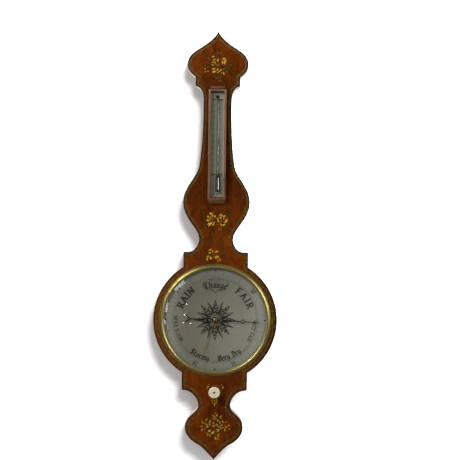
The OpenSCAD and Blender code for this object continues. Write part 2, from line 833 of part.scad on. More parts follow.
module arbor_bush() {
    color("gold")
    at_dial()
    difference() {
        bar(bush_r, plate_back, hand_depth - 0.6);
        bar(arbor_r + run_fit, plate_back - past, hand_depth);
    }
}

module movement_pillars() {
    color("darkgoldenrod")
    at_dial()
    for (z = [-pillar_h, pillar_h]) {
        bar(pillar_r, plate_front, dial_back, 0, z);
        difference() {
            bar(pillar_r, bridge_front, plate_back, 0, z);
            shank_hole(0, z, bridge_screw, bridge_front - past, bridge_back + bridge_screw[3] + past);
        }
    }
}

module rear_bridge() {
    color("goldenrod")
    at_dial()
    difference() {
        slab(bridge_back, bridge_front - bridge_back) cut_plate(-6, 6, -pillar_h - 5, pillar_h + 5, 2.5);
        bar(arbor_r + run_fit, bridge_back - past, bridge_front + past);
        for (z = [-pillar_h, pillar_h])
            shank_hole(0, z, bridge_screw, bridge_back - past, bridge_front + past);
    }
}

module bridge_screws() {
    color("khaki")
    at_dial()
    for (z = [-pillar_h, pillar_h])
        screw(0, z, bridge_back - bridge_screw[1], bridge_screw);
}

module hand_arbor() {
    color("lightsteelblue")
    at_dial()
    bar(arbor_r, bridge_back - 0.5, hand_depth + hand_t + arbor_out);
}

// The wheel that the float's thread turns
module thread_pulley() {
    color("gold")
    at_dial()
    turned()
        polygon([[arbor_r + seat_fit, tube_depth - 3], [3, tube_depth - 3], [3, tube_depth - 2],
            [thread_r + 1.2, tube_depth - 1.6], [thread_r + 1.2, tube_depth - 1.2],
            [thread_r - thread_half_t - 0.05, tube_depth - 0.4],
            [thread_r - thread_half_t - 0.05, tube_depth + 0.4],
            [thread_r + 1.2, tube_depth + 1.2], [thread_r + 1.2, tube_depth + 1.6],
            [3, tube_depth + 2], [3, tube_depth + 3], [arbor_r + seat_fit, tube_depth + 3]]);
}

// An open loop in a hand, centred at a distance from the arbor
module hand_loop(at, r)
    translate([0, at])
    difference() {
        circle(r = r, $fn = round_fn);
        circle(r = r - hand_wire, $fn = round_fn);
    }

// An open lozenge, as the indicator hand has on the way to its tip
module hand_lozenge() {
    translate([0, lozenge_at])
    difference() {
        polygon([[lozenge_half_w, 0], [0, lozenge_half_l], [-lozenge_half_w, 0], [0, -lozenge_half_l]]);
        scale(1 - 1.6 * hand_wire / lozenge_half_l)
            polygon([[lozenge_half_w, 0], [0, lozenge_half_l], [-lozenge_half_w, 0], [0, -lozenge_half_l]]);
    }
}

// A straight stretch of a hand, as wide as w0 where it starts and w1 where it ends
module hand_shaft(from, to, w0, w1)
    polygon([[-w0 / 2, from], [w0 / 2, from], [w1 / 2, to], [-w1 / 2, to]]);

// A pair of barbs that sweep towards the tip
module hand_barbs(at, half_w)
    polygon([[0, at - hand_wire], [half_w, at + 4.4], [half_w - 0.9, at + 5.4], [0, at + hand_wire],
        [0.9 - half_w, at + 5.4], [-half_w, at + 4.4]]);

// A small round bead on a hand's shaft
module hand_bead(at) translate([0, at]) circle(r = 1.7, $fn = small_fn);

// The fork that ends the indicator hand's tail
module hand_fork(at, half_w, reach)
    for (side = [-1, 1])
        hull() {
            translate([0, at]) circle(r = 1.1, $fn = small_fn);
            translate([side * half_w, at + reach]) circle(r = 1.4, $fn = small_fn);
        }

module indicator_hand() {
    color("midnightblue")
    at_dial()
    difference() {
        slab(hand_depth, hand_t)
            rotate(-hand_angle) {
                circle(r = hub_r, $fn = round_fn);
                hand_shaft(0, loop_at - loop_r + hand_wire, 2, 2);
                hand_loop(loop_at, loop_r);
                hand_shaft(loop_at + loop_r - hand_wire, lozenge_at - lozenge_half_l + hand_wire, 2.2, 1.6);
                hand_bead(41);
                hand_bead(58);
                hand_lozenge();
                hand_shaft(lozenge_at + lozenge_half_l - hand_wire, barbs_at, 1.6, 1.5);
                hand_barbs(barbs_at, 5.6);
                hand_shaft(barbs_at, hand_len, 1.5, 0.5);
                mirror([0, 1]) {
                    hand_shaft(0, loop_at - loop_r + hand_wire, 2, 2);
                    hand_loop(loop_at, loop_r);
                    hand_shaft(loop_at + loop_r - hand_wire, tail_len - 10, 2, 1.8);
                    hand_bead(53);
                    hand_fork(tail_len - 10.5, 8, 9);
                }
            }
        bar(arbor_r + seat_fit, hand_depth - past, hand_depth + hand_t + past);
    }
}

// The domed brass cap that holds the hand on its arbor
module hand_cap() {
    color("gold")
    at_dial()
    turned()
        translate([0, hand_depth + hand_t])
    polygon([[0, arbor_out + 0.1], [arbor_r + run_fit, arbor_out + 0.1], [arbor_r + run_fit, 0],
        [cap_r, 0], [cap_r - 0.1, 0.8], [cap_r - 1, 1.9], [cap_r - 2.8, 2.6], [0, 2.8]]);
}

module set_hand() {
    color("darkgoldenrod")
    at_dial()
    difference() {
        slab(set_hand_depth, set_hand_t)
            rotate(-set_hand_angle) {
                circle(r = pipe_r + 2.2, $fn = round_fn);
                hand_shaft(0, set_loop_at - set_loop_r + hand_wire, 2, 2);
                hand_loop(set_loop_at, set_loop_r);
                hand_shaft(set_loop_at + set_loop_r - hand_wire, set_hand_len, 1.6, 0.6);
                translate([-set_bar_half_w, set_bar_at]) square([2 * set_bar_half_w, hand_wire]);
            }
        bar(pipe_r + seat_fit, set_hand_depth - past, set_hand_depth + set_hand_t + past);
    }
}

module set_hand_pipe() {
    color("gold")
    at_dial()
    difference() {
        bar(pipe_r, cord_depth - pulley_half_t, set_hand_depth + set_hand_t + 0.4);
        bar(bush_r + run_fit, cord_depth - pulley_half_t - past, set_hand_depth + set_hand_t + past);
    }
}

// The grooved wheels of the endless cord, one on the set hand's pipe and one on the knob's arbor
module cord_pulley(hole_r)
    turned()
        translate([0, cord_depth])
        polygon([[hole_r, -pulley_half_t], [flange_r, -pulley_half_t], [flange_r, -1.3],
            [cord_loop_r - cord_half_t - 0.15, -0.8], [cord_loop_r - cord_half_t - 0.15, 0.8],
            [flange_r, 1.3], [flange_r, pulley_half_t], [hole_r, pulley_half_t]]);

module set_hand_pulley() {
    color("goldenrod")
    at_dial()
    cord_pulley(pipe_r + seat_fit);
}

module knob_pulley() {
    color("goldenrod")
    at_dial()
    translate([0, 0, -knob_drop]) cord_pulley(knob_arbor_r + seat_fit);
}

// The endless cord: rings of eight points round the upper and the lower wheel
cord_sides = 8;
cord_half_steps = 16;
cord_angles = [for (i = [0 : cord_half_steps]) 180 * i / cord_half_steps];
cord_stops = concat([for (a = cord_angles) [a, 0]], [for (a = cord_angles) [a + 180, -knob_drop]]);
cord_points = [for (s = cord_stops, k = [0 : cord_sides - 1])
    let (r = cord_loop_r + cord_half_t * cos(360 * k / cord_sides))
    [r * cos(s[0]), -cord_depth + cord_half_t * sin(360 * k / cord_sides), s[1] + r * sin(s[0])]];
cord_faces = [for (i = [0 : len(cord_stops) - 1], k = [0 : cord_sides - 1], half = [0, 1])
    let (
        here = i * cord_sides,
        next = (i + 1) % len(cord_stops) * cord_sides,
        k2 = (k + 1) % cord_sides
    )
    half == 0 ? [here + k, next + k, next + k2] : [here + k, next + k2, here + k2]];

module set_cord() {
    color("darkolivegreen")
    at_dial()
    polyhedron(cord_points, cord_faces);
}

module set_knob() {
    color("wheat")
    at_dial()
    translate([0, 0, -knob_drop])
    turned()
        translate([0, case_depth])
        polygon([[knob_arbor_r + seat_fit, 0.8], [9, 0.8], [9.4, 1.6], [9, 2.4], [7.2, 3.4], [7, 5],
            [8.6, 6.6], [12.6, 8], [knob_r - 0.3, 9.4], [knob_r, 10.6], [knob_r - 0.4, 12],
            [knob_r - 1.8, 13.2], [knob_r - 4.4, 13.8], [9, 13.2], [8.5, 12.9], [8, 13.3],
            [7.2, 14.2], [5.6, 14.2], [3.4, 13.4], [knob_arbor_r + seat_fit, 13.2]]);
}

module knob_arbor() {
    color("gold")
    at_dial()
    bar(knob_arbor_r, cord_depth - pulley_half_t - 0.8, case_depth + 13.6, 0, -knob_drop);
}

module knob_bush() {
    color("goldenrod")
    at_dial()
    difference() {
        union() {
            bar(bush_hole_r, well_front, case_depth + bush_flange_t, 0, -knob_drop);
            bar(bush_flange_r, case_depth, case_depth + bush_flange_t, 0, -knob_drop);
        }
        bar(knob_arbor_r + run_fit, well_front - past, case_depth + past, 0, -knob_drop);
    }
}

// A solid round section swept down the long limb, round the bend and up the short limb
module siphon(r, long_top, short_top) {
    translate([long_x, -tube_depth, -bend_drop])
        cylinder(r = r, h = long_top + bend_drop, $fn = round_fn);
    translate([float_x, -tube_depth, -bend_drop])
        cylinder(r = r, h = short_top + bend_drop, $fn = round_fn);
    translate([float_x + limb_gap / 2, -tube_depth, -bend_drop])
        rotate([90, 0, 0])
        rotate([0, 0, 180])
        rotate_extrude(angle = 180, $fn = round_fn)
        translate([limb_gap / 2, 0]) circle(r = r, $fn = round_fn);
}

module siphon_tube() {
    color("lightblue", 0.5)
    at_dial()
    difference() {
        union() {
            siphon(tube_r, tube_end_h - 5, -mouth_drop);
            translate([long_x, -tube_depth, tube_end_h - 5])
                rotate_extrude($fn = round_fn)
                polygon([[0, 0], [tube_r, 0], [tube_r - 0.5, 2.4], [tube_r - 1.8, 4.2], [0, 5]]);
        }
        siphon(bore_r, tube_end_h - 6, -mouth_drop + past);
    }
}

// The mercury is in three lengths, because its two ends rise and fall
mercury_split_h = mercury_high_h - 50;
mercury_split_drop = 28 - mercury_low_h;
float_sunk = 2.5;
float_ring = 0.2;
eye_r = 0.5;
eye_len = 1.5;

module mercury_column() {
    color("silver")
    at_dial()
    siphon(mercury_r, mercury_split_h, -mercury_split_drop);
}

// The two ends of the mercury that rise and fall
module mercury_top() {
    color("silver")
    at_dial()
    translate([long_x, -tube_depth, 0])
    rotate_extrude($fn = round_fn)
    polygon([[0, mercury_split_h], [mercury_r, mercury_split_h], [mercury_r, mercury_high_h - 1],
        [mercury_r * 0.6, mercury_high_h - 0.2], [0, mercury_high_h]]);
}

module mercury_float_end() {
    color("silver")
    at_dial()
    translate([float_x, -tube_depth, 0])
    rotate_extrude($fn = round_fn)
    polygon([[0, -mercury_split_drop], [mercury_r, -mercury_split_drop], [mercury_r, mercury_low_h],
        [float_r + float_ring, mercury_low_h], [float_r + float_ring, mercury_low_h - float_sunk - 0.3],
        [0, mercury_low_h - float_sunk - 0.3]]);
}

float_foot = mercury_low_h - float_sunk;
module float() {
    color("dimgray")
    at_dial()
    translate([float_x, -tube_depth, float_foot])
    rotate_extrude($fn = round_fn)
    polygon([[0, 0], [float_r * 0.7, 0.2], [float_r, 1], [float_r, float_len - 1.5],
        [float_r * 0.6, float_len - 0.3], [eye_r, float_len], [eye_r, float_len + eye_len],
        [0, float_len + eye_len]]);
}

module float_thread() {
    color("black")
    at_dial()
    translate([float_x, -tube_depth, float_foot + float_len + eye_len])
        cylinder(r = thread_half_t, h = -(float_foot + float_len + eye_len), $fn = small_fn);
}

module counterweight() {
    color("darkgoldenrod")
    at_dial()
    translate([-thread_r, -tube_depth, -weight_drop])
    rotate_extrude($fn = round_fn)
    polygon([[0, 0], [weight_r * 0.7, 0], [weight_r, 0.8], [weight_r, weight_len - 1.2],
        [weight_r * 0.6, weight_len - 0.2], [eye_r, weight_len], [eye_r, weight_len + eye_len],
        [0, weight_len + eye_len]]);
}

module counterweight_thread() {
    color("black")
    at_dial()
    translate([-thread_r, -tube_depth, -weight_drop + weight_len + eye_len])
        cylinder(r = thread_half_t, h = weight_drop - weight_len - eye_len, $fn = small_fn);
}

guide_r = 3.4;
guide_bore_r = 2.6;
guide_foot_drop = weight_drop + 45;

module counterweight_guide() {
    color("lightblue", 0.5)
    at_dial()
    translate([-thread_r, -tube_depth, -guide_foot_drop])
    difference() {
        cylinder(r = guide_r, h = guide_foot_drop - mouth_drop, $fn = round_fn);
        translate([0, 0, -past]) cylinder(r = guide_bore_r, h = guide_foot_drop, $fn = round_fn);
    }
}

// Cork blocks that keep the two limbs and the guide tube at their distances
spacer_h = 8;
spacer_up = 11;
spacer_drops = [mouth_drop + 16, cavity_r - spacer_up];
module tube_spacers() {
    color("burlywood")
    at_dial()
    for (drop = spacer_drops)
        difference() {
            block(-thread_r - guide_r - 2, long_x + tube_r + 2, -drop - spacer_h / 2, -drop + spacer_h / 2,
                tube_depth - tube_r - 2, tube_depth + tube_r + 2);
            for (x = [float_x, long_x])
                translate([x, -tube_depth, -drop - spacer_h])
                    cylinder(r = tube_r + 0.1, h = 2 * spacer_h, $fn = round_fn);
            translate([-thread_r, -tube_depth, -drop - spacer_h])
                cylinder(r = guide_r + 0.1, h = 2 * spacer_h, $fn = round_fn);
        }
}

// Cork pads that hold the tube in its channel, three in the neck and one in the base
pad_h = 12;
neck_pad_heights = [150, 400, 640];
base_pad_drop = 216;
module tube_pads() {
    color("burlywood")
    at_dial() {
        for (h = neck_pad_heights)
            difference() {
                block(long_x - channel_w / 2 + fit, long_x + channel_w / 2 - fit, h, h + pad_h,
                    cover_t + fit, channel_depth - fit);
                translate([long_x, -tube_depth, h - past])
                    cylinder(r = tube_r + 0.1, h = pad_h + 2 * past, $fn = round_fn);
            }
        difference() {
            block(pit_left + fit, pit_right - fit, -base_pad_drop - pad_h / 2, -base_pad_drop + pad_h / 2,
                cover_t + fit, channel_depth - fit);
            for (x = [float_x, long_x])
                translate([x, -tube_depth, -base_pad_drop - pad_h])
                    cylinder(r = tube_r + 0.1, h = 2 * pad_h, $fn = round_fn);
        }
    }
}

// The glazed box on the neck
module thermometer_box() {
    color("brown")
    at_dial()
    difference() {
        block(-box_w / 2, box_w / 2, box_foot_h, box_top_h, case_depth, case_depth + box_d);
        block(-box_w / 2 + box_wall, box_w / 2 - box_wall,
            box_foot_h + rail_h - rebate_w, box_top_h - rail_h + rebate_w, case_depth - past, pane_front);
        block(-window_w / 2, window_w / 2, box_foot_h + rail_h, box_top_h - rail_h,
            case_depth, case_depth + box_d + past);
    }
}

// A moulding's section is drawn as depth and height, and runs along X
module along_x(w) rotate([0, 0, -90]) rotate([90, 0, 0]) linear_extrude(w, center = true) children();

module thermometer_mouldings() {
    color("peru")
    at_dial() {
        along_x(moulding_w)
            translate([case_depth, box_top_h])
            polygon(concat([[0, 0], [box_d - 5, 0]],
                bez([box_d - 5, 0], [box_d - 4, 3], [box_d - 8, 3], [box_d - 8, 6], 6),
                [[box_d - 9, 8.25], [0, 8.25]]));
        along_x(moulding_w)
            translate([case_depth, box_foot_h])
            polygon(concat([[0, 0], [box_d - 4, 0]],
                bez([box_d - 4, 0], [box_d - 4, -5], [box_d - 9, -3], [box_d - 10, -7], 6),
                [[box_d - 10, -9], [0, -9]]));
    }
}

pane_play = 0.25;
module thermometer_glass() {
    color("lightcyan", 0.35)
    at_dial()
    block(-box_w / 2 + box_wall + pane_play, box_w / 2 - box_wall - pane_play,
        box_foot_h + rail_h - rebate_w + pane_play, box_top_h - rail_h + rebate_w - pane_play,
        pane_front - pane_t, pane_front);
}

plate_screw_places = [[-7, box_foot_h + 15.25], [therm_x - 0.5, box_foot_h + 14]];
washer_place = [0, clip_heights[0] + clip_h / 2 + washer_r + 0.4];

module thermometer_plate() {
    color("darkgray")
    at_dial()
    difference() {
        block(-box_w / 2 + box_wall + pane_play, box_w / 2 - box_wall - pane_play,
            box_foot_h + rail_h + 1, box_top_h - rail_h - 1, case_depth, therm_plate_front);
        for (p = plate_screw_places)
            shank_hole(p[0], p[1], plate_screw, case_depth - past, therm_plate_front + past);
        shank_hole(washer_place[0], washer_place[1], washer_screw,
            case_depth - past, therm_plate_front + past);
    }
}

bulb_top_h = bulb_foot_h + bulb_len;
bulb_wall = 0.8;
therm_bore_r = 0.7;

// The section of the thermometer's hollow up to a height, drawn smaller by a gap
function bulb_bore(gap, top) = [
    [0, bulb_foot_h + 1.2 + gap], [bulb_r - bulb_wall - 0.4 - gap, bulb_foot_h + 3.6 + gap],
    [bulb_r - bulb_wall - gap, bulb_foot_h + 5.6], [bulb_r - bulb_wall - gap, bulb_top_h - 6],
    [therm_bore_r - gap, bulb_top_h - 1], [therm_bore_r - gap, top], [0, top]];

module thermometer_tube() {
    color("lightblue", 0.5)
    at_dial()
    translate([therm_x, -therm_depth, 0])
    difference() {
        rotate_extrude($fn = round_fn)
            polygon([[0, bulb_foot_h], [bulb_r - 2.5, bulb_foot_h + 0.5], [bulb_r - 0.5, bulb_foot_h + 2.2],
                [bulb_r, bulb_foot_h + 4.7], [bulb_r, bulb_top_h - 5], [bulb_r - 0.9, bulb_top_h - 2],
                [therm_r, bulb_top_h], [therm_r, therm_top_h - 2.5], [therm_r - 0.9, therm_top_h - 0.6],
                [0, therm_top_h]]);
        rotate_extrude($fn = round_fn)
            polygon(bulb_bore(0, therm_top_h - 5));
    }
}

module thermometer_mercury() {
    color("silver")
    at_dial()
    translate([therm_x, -therm_depth, 0])
    rotate_extrude($fn = round_fn)
        polygon(bulb_bore(run_fit, therm_reading_h));
}

// The clip's section is drawn as X and depth: two flats, and an arch over the tube
clip_t = 0.8;
clip_half_w = 13;
module clip_section() {
    out = therm_r + 0.1 + clip_t;
    arch = [for (a = [180 : -15 : 0]) a];
    back = [for (a = [0 : 15 : 180]) a];
    polygon(concat(
        [[-clip_half_w, therm_plate_front], [-clip_half_w, therm_plate_front + clip_t],
         [therm_x - out, therm_plate_front + clip_t]],
        [for (a = arch) [therm_x + out * cos(a), therm_depth + out * sin(a)]],
        [[therm_x + out, therm_plate_front + clip_t], [clip_half_w, therm_plate_front + clip_t],
         [clip_half_w, therm_plate_front], [therm_x + out - clip_t, therm_plate_front]],
        [for (a = back) [therm_x + (out - clip_t) * cos(a), therm_depth + (out - clip_t) * sin(a)]],
        [[therm_x - out + clip_t, therm_plate_front]]));
}

module thermometer_clips() {
    color("gold")
    at_dial()
    for (h = clip_heights)
        translate([0, 0, h - clip_h / 2])
        mirror([0, 1, 0])
        linear_extrude(clip_h)
        clip_section();
}

// The screws of the scale plate and, at its top, one through a washer
module thermometer_screws() {
    color("dimgray")
    at_dial() {
        for (p = plate_screw_places)
            screw(p[0], p[1], therm_plate_front + plate_screw[1], plate_screw, false);
        difference() {
            bar(washer_r, therm_plate_front, therm_plate_front + washer_t, washer_place[0], washer_place[1]);
            shank_hole(washer_place[0], washer_place[1], washer_screw, therm_plate_front - past,
                therm_plate_front + washer_t + past);
        }
        screw(washer_place[0], washer_place[1], therm_plate_front + washer_t + washer_screw[1],
            washer_screw, false);
    }
}

neck_board();
round_body();
base_board();
front_veneer();
neck_cover();
neck_cover_pins();
lower_cover();
lower_cover_screws();
hanging_plate();
hanging_plate_screws();
back_door();
door_hinge_case_leaf();
door_hinge_door_leaf();
door_hinge_case_screws();
door_hinge_door_screws();
door_button();
door_button_screw();
bezel();
dial_glass();
glass_ring();
bezel_hinge_case_leaf();
bezel_hinge_bezel_leaf();
dial_plate();
dial_screws();
movement_plate();
arbor_bush();
movement_pillars();
rear_bridge();
bridge_screws();
hand_arbor();
thread_pulley();
indicator_hand();
hand_cap();
set_hand();
set_hand_pipe();
set_hand_pulley();
set_cord();
set_knob();
knob_arbor();
knob_bush();
knob_pulley();
siphon_tube();
mercury_column();
mercury_top();
mercury_float_end();
float();
float_thread();
counterweight();
counterweight_thread();
counterweight_guide();
tube_spacers();
tube_pads();
thermometer_box();
thermometer_mouldings();
thermometer_glass();
thermometer_plate();
thermometer_tube();
thermometer_mercury();
thermometer_clips();
thermometer_screws();
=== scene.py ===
"""The looks of a wheel barometer with inlaid flowers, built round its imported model.

Metres, Z up. The front looks towards -Y, the wall is the plane Y = 0, and the hanging
hole is the origin. Flat work is drawn in millimetres round the middle of the dial.
"""

import math
import random

import bmesh
import bpy
from mathutils import Matrix, Vector
from mathutils.geometry import interpolate_bezier
from mathutils.kdtree import KDTree


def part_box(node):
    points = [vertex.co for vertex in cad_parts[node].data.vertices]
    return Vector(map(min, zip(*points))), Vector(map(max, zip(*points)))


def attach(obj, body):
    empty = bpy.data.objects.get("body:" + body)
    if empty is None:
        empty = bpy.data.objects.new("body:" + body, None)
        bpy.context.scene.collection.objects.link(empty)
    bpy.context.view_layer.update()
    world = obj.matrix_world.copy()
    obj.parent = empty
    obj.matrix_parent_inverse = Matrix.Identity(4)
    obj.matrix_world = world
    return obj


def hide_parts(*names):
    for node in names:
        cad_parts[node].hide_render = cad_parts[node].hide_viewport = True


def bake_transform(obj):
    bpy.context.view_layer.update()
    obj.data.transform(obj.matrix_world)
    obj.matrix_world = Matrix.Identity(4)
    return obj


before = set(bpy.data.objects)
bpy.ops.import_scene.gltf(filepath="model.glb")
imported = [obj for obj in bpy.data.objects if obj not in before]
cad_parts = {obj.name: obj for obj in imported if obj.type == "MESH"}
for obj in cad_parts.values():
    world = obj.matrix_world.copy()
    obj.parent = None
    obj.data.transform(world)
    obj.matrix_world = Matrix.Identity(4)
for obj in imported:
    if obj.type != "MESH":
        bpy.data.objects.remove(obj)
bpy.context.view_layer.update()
mm = 0.001

# The view. The barometer hangs a little out of plumb in its photograph, so the camera
# is rolled and the model stays upright. It looks straight at the wall, from in front
# of the middle of the picture.
dial_low, dial_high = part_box("dial_plate")
dial_centre = (dial_low + dial_high) / 2
front_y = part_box("front_veneer")[0].y
picture_px = 460
dial_at_px = (215.1, 320.1)
px_size = 2.5 * mm
view_distance = 3.1
roll = math.radians(0.69)
sensor_w = 36

right = Vector((math.cos(roll), 0, math.sin(roll)))
up = Vector((-math.sin(roll), 0, math.cos(roll)))
aim = dial_centre + px_size * (
    (picture_px / 2 - dial_at_px[0]) * right + (dial_at_px[1] - picture_px / 2) * up
)
camera = bpy.data.objects.new("camera", bpy.data.cameras.new("camera"))
bpy.context.collection.objects.link(camera)
camera.data.sensor_width = sensor_w
camera.data.lens = sensor_w * view_distance / (picture_px * px_size)
camera.matrix_world = Matrix.Translation((aim.x, front_y - view_distance, aim.z)) @ Matrix(
    (right, up, right.cross(up))
).transposed().to_4x4()
bpy.context.scene.camera = camera
bpy.context.scene.view_settings.view_transform = "Standard"


# The studio: a white wall, seen only from the front, that keeps the soft shadow thrown by
# its own lamp, a pale floor, and the barometer's lamps. The windows and the spots show
# only in the brass and the glass.
class Wire:
    """A socket in a node tree. Arithmetic on it adds Math nodes, and node() adds any other."""

    def __init__(self, tree, socket=None):
        self.tree = tree
        self.socket = socket

    def node(self, kind, settings, sockets, out=0):
        made = self.tree.nodes.new("ShaderNode" + kind)
        for name, value in settings.items():
            if name == "stops":
                stops = made.color_ramp.elements
                stops.remove(stops[1])
                stops[0].position, stops[0].color = value[0]
                for place, colour in value[1:]:
                    stops.new(place).color = colour
            else:
                setattr(made, name, value)
        for name, value in sockets.items():
            if isinstance(value, Wire):
                self.tree.links.new(value.socket, made.inputs[name])
            else:
                made.inputs[name].default_value = value
        return Wire(self.tree, made.outputs[out])

    def maths(self, operation, *values):
        return self.node("Math", {"operation": operation}, dict(enumerate(values)))

    def mix(self, one, other):
        """The first colour where this is 0, and the other where it is 1."""
        return self.node("Mix", {"data_type": "RGBA"}, {0: self, 6: one, 7: other}, out=2)

    def step(self, low, high):
        """Rises smoothly from 0 to 1 as this goes from low to high."""
        ease = {"interpolation_type": "SMOOTHSTEP"}
        return self.node("MapRange", ease, {0: self, 1: low, 2: high})

    def ramp(self, *stops):
        return self.node("ValToRGB", {"stops": stops}, {0: self})

    def stretched(self, x, y, z):
        return self.node("Mapping", {}, {"Vector": self, "Scale": (x, y, z)})

    def noise(self, scale, detail=2.0, roughness=0.5, distortion=0.0):
        sockets = {"Vector": self, "Scale": scale, "Detail": detail}
        return self.node("TexNoise", {}, {**sockets, "Roughness": roughness, "Distortion": distortion})

    def axis(self, name):
        return self.node("SeparateXYZ", {}, {0: self}, out=name)

    def bump(self, distance, strength=1.0):
        return self.node("Bump", {}, {"Height": self, "Distance": distance, "Strength": strength})

    def __add__(self, other):
        return self.maths("ADD", self, other)

    def __sub__(self, other):
        return self.maths("SUBTRACT", self, other)

    def __rsub__(self, other):
        return self.maths("SUBTRACT", other, self)

    def __mul__(self, other):
        return self.maths("MULTIPLY", self, other)

    __radd__ = __add__
    __rmul__ = __mul__


def rgb(red, green, blue):
    """A colour as a screen shows it, from 0 to 255, in Blender's linear light."""
    screen = [c / 255 for c in (red, green, blue)]
    return *((c / 12.92 if c <= 0.04045 else ((c + 0.055) / 1.055) ** 2.4) for c in screen), 1.0


room_light = 0.5
room_front = 0.04
room_side = 0.6
room_wall = 0.6
world = bpy.data.worlds.new("studio")
bpy.context.scene.world = world
world.use_nodes = True
room = Wire(world.node_tree)
seen = room.node("LightPath", {}, {}, out="Is Camera Ray")
mirrored = room.node("LightPath", {}, {}, out="Is Glossy Ray")
facing_wall = room.node("TexCoord", {}, {}, out="Generated").axis("Y")
mirror_light = room_front + (room_side - room_front) * facing_wall.step(-0.8, 0.0)
mirror_light = mirror_light + room_wall * facing_wall.step(0.0, 0.25)
strength = seen + (1 - seen) * (mirrored * mirror_light + (1 - mirrored) * room_light)
background = world.node_tree.nodes["Background"]
background.inputs["Color"].default_value = (1, 1, 1, 1)
world.node_tree.links.new(strength.socket, background.inputs["Strength"])

sheet_size = 12
floor_z = -1.9
wall_lift = 0.12
right_wall_painted_light = 0.6
paper = bpy.data.materials.new("studio_paper")
paper.use_nodes = True
sheet = Wire(paper.node_tree)
seen = sheet.node("LightPath", {}, {}, out="Is Camera Ray")
behind = sheet.node("NewGeometry", {}, {}, out="Backfacing")
matt = sheet.node("BsdfDiffuse", {}, {"Color": (0.8, 0.8, 0.8, 1)})
spot = sheet.node("TexCoord", {}, {}, out="Object")
across = spot.axis("X")
# Painted light: the wall glows more at the right, washing out the shadow there.
lift = wall_lift + right_wall_painted_light * across.step(-0.02, 0.07)
lift = lift + (across * across).step(0.4, 1.5) + (1 - spot.axis("Z").step(floor_z, floor_z + 0.1))
glow = sheet.node("Emission", {}, {"Strength": seen * lift})
lit = sheet.node("AddShader", {}, {0: matt, 1: glow})
through = sheet.node("MixShader", {}, {0: behind, 1: lit, 2: sheet.node("BsdfTransparent", {}, {})})
paper.node_tree.links.new(
    through.socket, paper.node_tree.nodes["Material Output"].inputs["Surface"]
)

on_sheets, off_sheets, on_mirrors, on_bezel = (
    bpy.data.collections.new(name) for name in ("on_sheets", "off_sheets", "on_mirrors", "on_bezel")
)


def studio_sheet(name, place, size):
    """A square of the studio's paper, which blocks no light."""
    shape = bmesh.new()
    bmesh.ops.create_grid(shape, x_segments=1, y_segments=1, size=size / 2, matrix=place)
    mesh = bpy.data.meshes.new(name)
    shape.to_mesh(mesh)
    shape.free()
    mesh.materials.append(paper)
    made = bpy.data.objects.new(name, mesh)
    bpy.context.collection.objects.link(made)
    made.visible_shadow = made.visible_diffuse = made.visible_glossy = False
    on_sheets.objects.link(made)
    off_sheets.objects.link(made)
    off_sheets.collection_objects[-1].light_linking.link_state = "EXCLUDE"


facing = Matrix.Rotation(math.pi / 2, 4, "X")
studio_sheet("studio_wall", Matrix.Translation((0, 0.0006, -0.5)) @ facing, sheet_size)
studio_sheet("studio_floor", Matrix.Translation((0, -3, floor_z)), sheet_size)


lamp_aim = Vector((0, 0, -0.55))


def lamp(name, place, width, height, power, lights, lean=0.0, colour=(1, 1, 1)):
    """A soft lamp, turned to the middle of the barometer, for the objects that it lights."""
    light = bpy.data.lights.new(name, "AREA")
    light.shape = "RECTANGLE"
    light.size, light.size_y, light.energy, light.color = width, height, power, colour
    made = bpy.data.objects.new(name, light)
    bpy.context.collection.objects.link(made)
    turn = (lamp_aim - Vector(place)).to_track_quat("-Z", "Y").to_matrix().to_4x4()
    made.matrix_world = Matrix.Translation(place) @ turn @ Matrix.Rotation(math.radians(lean), 4, "Z")
    made.visible_diffuse = lights in (on_sheets, off_sheets)
    made.light_linking.receiver_collection = lights
    return made


lamp("wall_lamp", (1.0, -2.37, 1.32), 1.6, 1.1, 225, on_sheets)
lamp("key_lamp", (-1.75, -1.95, 1.0), 1.3, 1.3, 60, off_sheets)
lamp("fill_lamp", (2.2, -1.9, 0.2), 1.8, 1.8, 16, off_sheets)
lamp("back_lamp", (-0.8, 2.6, 0.2), 1.6, 1.6, 34, off_sheets).visible_glossy = False
lamp("right_window", (2.3, -1.9, 0.3), 1.2, 1.2, 42, on_mirrors)
lamp("high_window", (-0.96, -2.87, -0.04), 0.34, 0.1, 0.8, on_bezel, 45, (0.9, 1, 0.88))
lamp("side_window", (-1.26, -2.82, -0.59), 0.06, 0.26, 0.45, on_bezel, -8, (0.85, 0.82, 1))
lamp("low_window", (-1.29, -2.76, -0.96), 0.04, 0.12, 0.25, on_bezel, 0, (0.6, 0.55, 1))
for i, (x, z) in enumerate([(-0.745, -0.51), (-0.785, -0.775), (-0.82, -0.97), (-0.645, -0.97)]):
    lamp(f"spot_{i + 1}", (x, -2.9, z), 0.04, 0.04, 0.1, on_bezel, 0, (1, 0.8, 0.7))


# The carcass: a softwood board for the neck, a round body and a base board, glued up
# and stained dark where they show at the sides. The front is a mahogany veneer, laid
# with its grain upright and polished, with painted light at the left and painted shade at the right.
def finish(name, paint):
    """Makes a material. paint gets the piece's own coordinates and gives the shader's sockets."""
    material = bpy.data.materials.new(name)
    material.use_nodes = True
    tree = material.node_tree
    spot = Wire(tree, tree.nodes.new("ShaderNodeTexCoord").outputs["Object"])
    for socket, value in paint(spot).items():
        target = tree.nodes["Principled BSDF"].inputs[socket]
        if isinstance(value, Wire):
            tree.links.new(value.socket, target)
        else:
            target.default_value = value
    return material


def dress(material, *nodes):
    """Gives CAD nodes their finish."""
    for node in nodes:
        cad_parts[node].material_slots[0].material = material


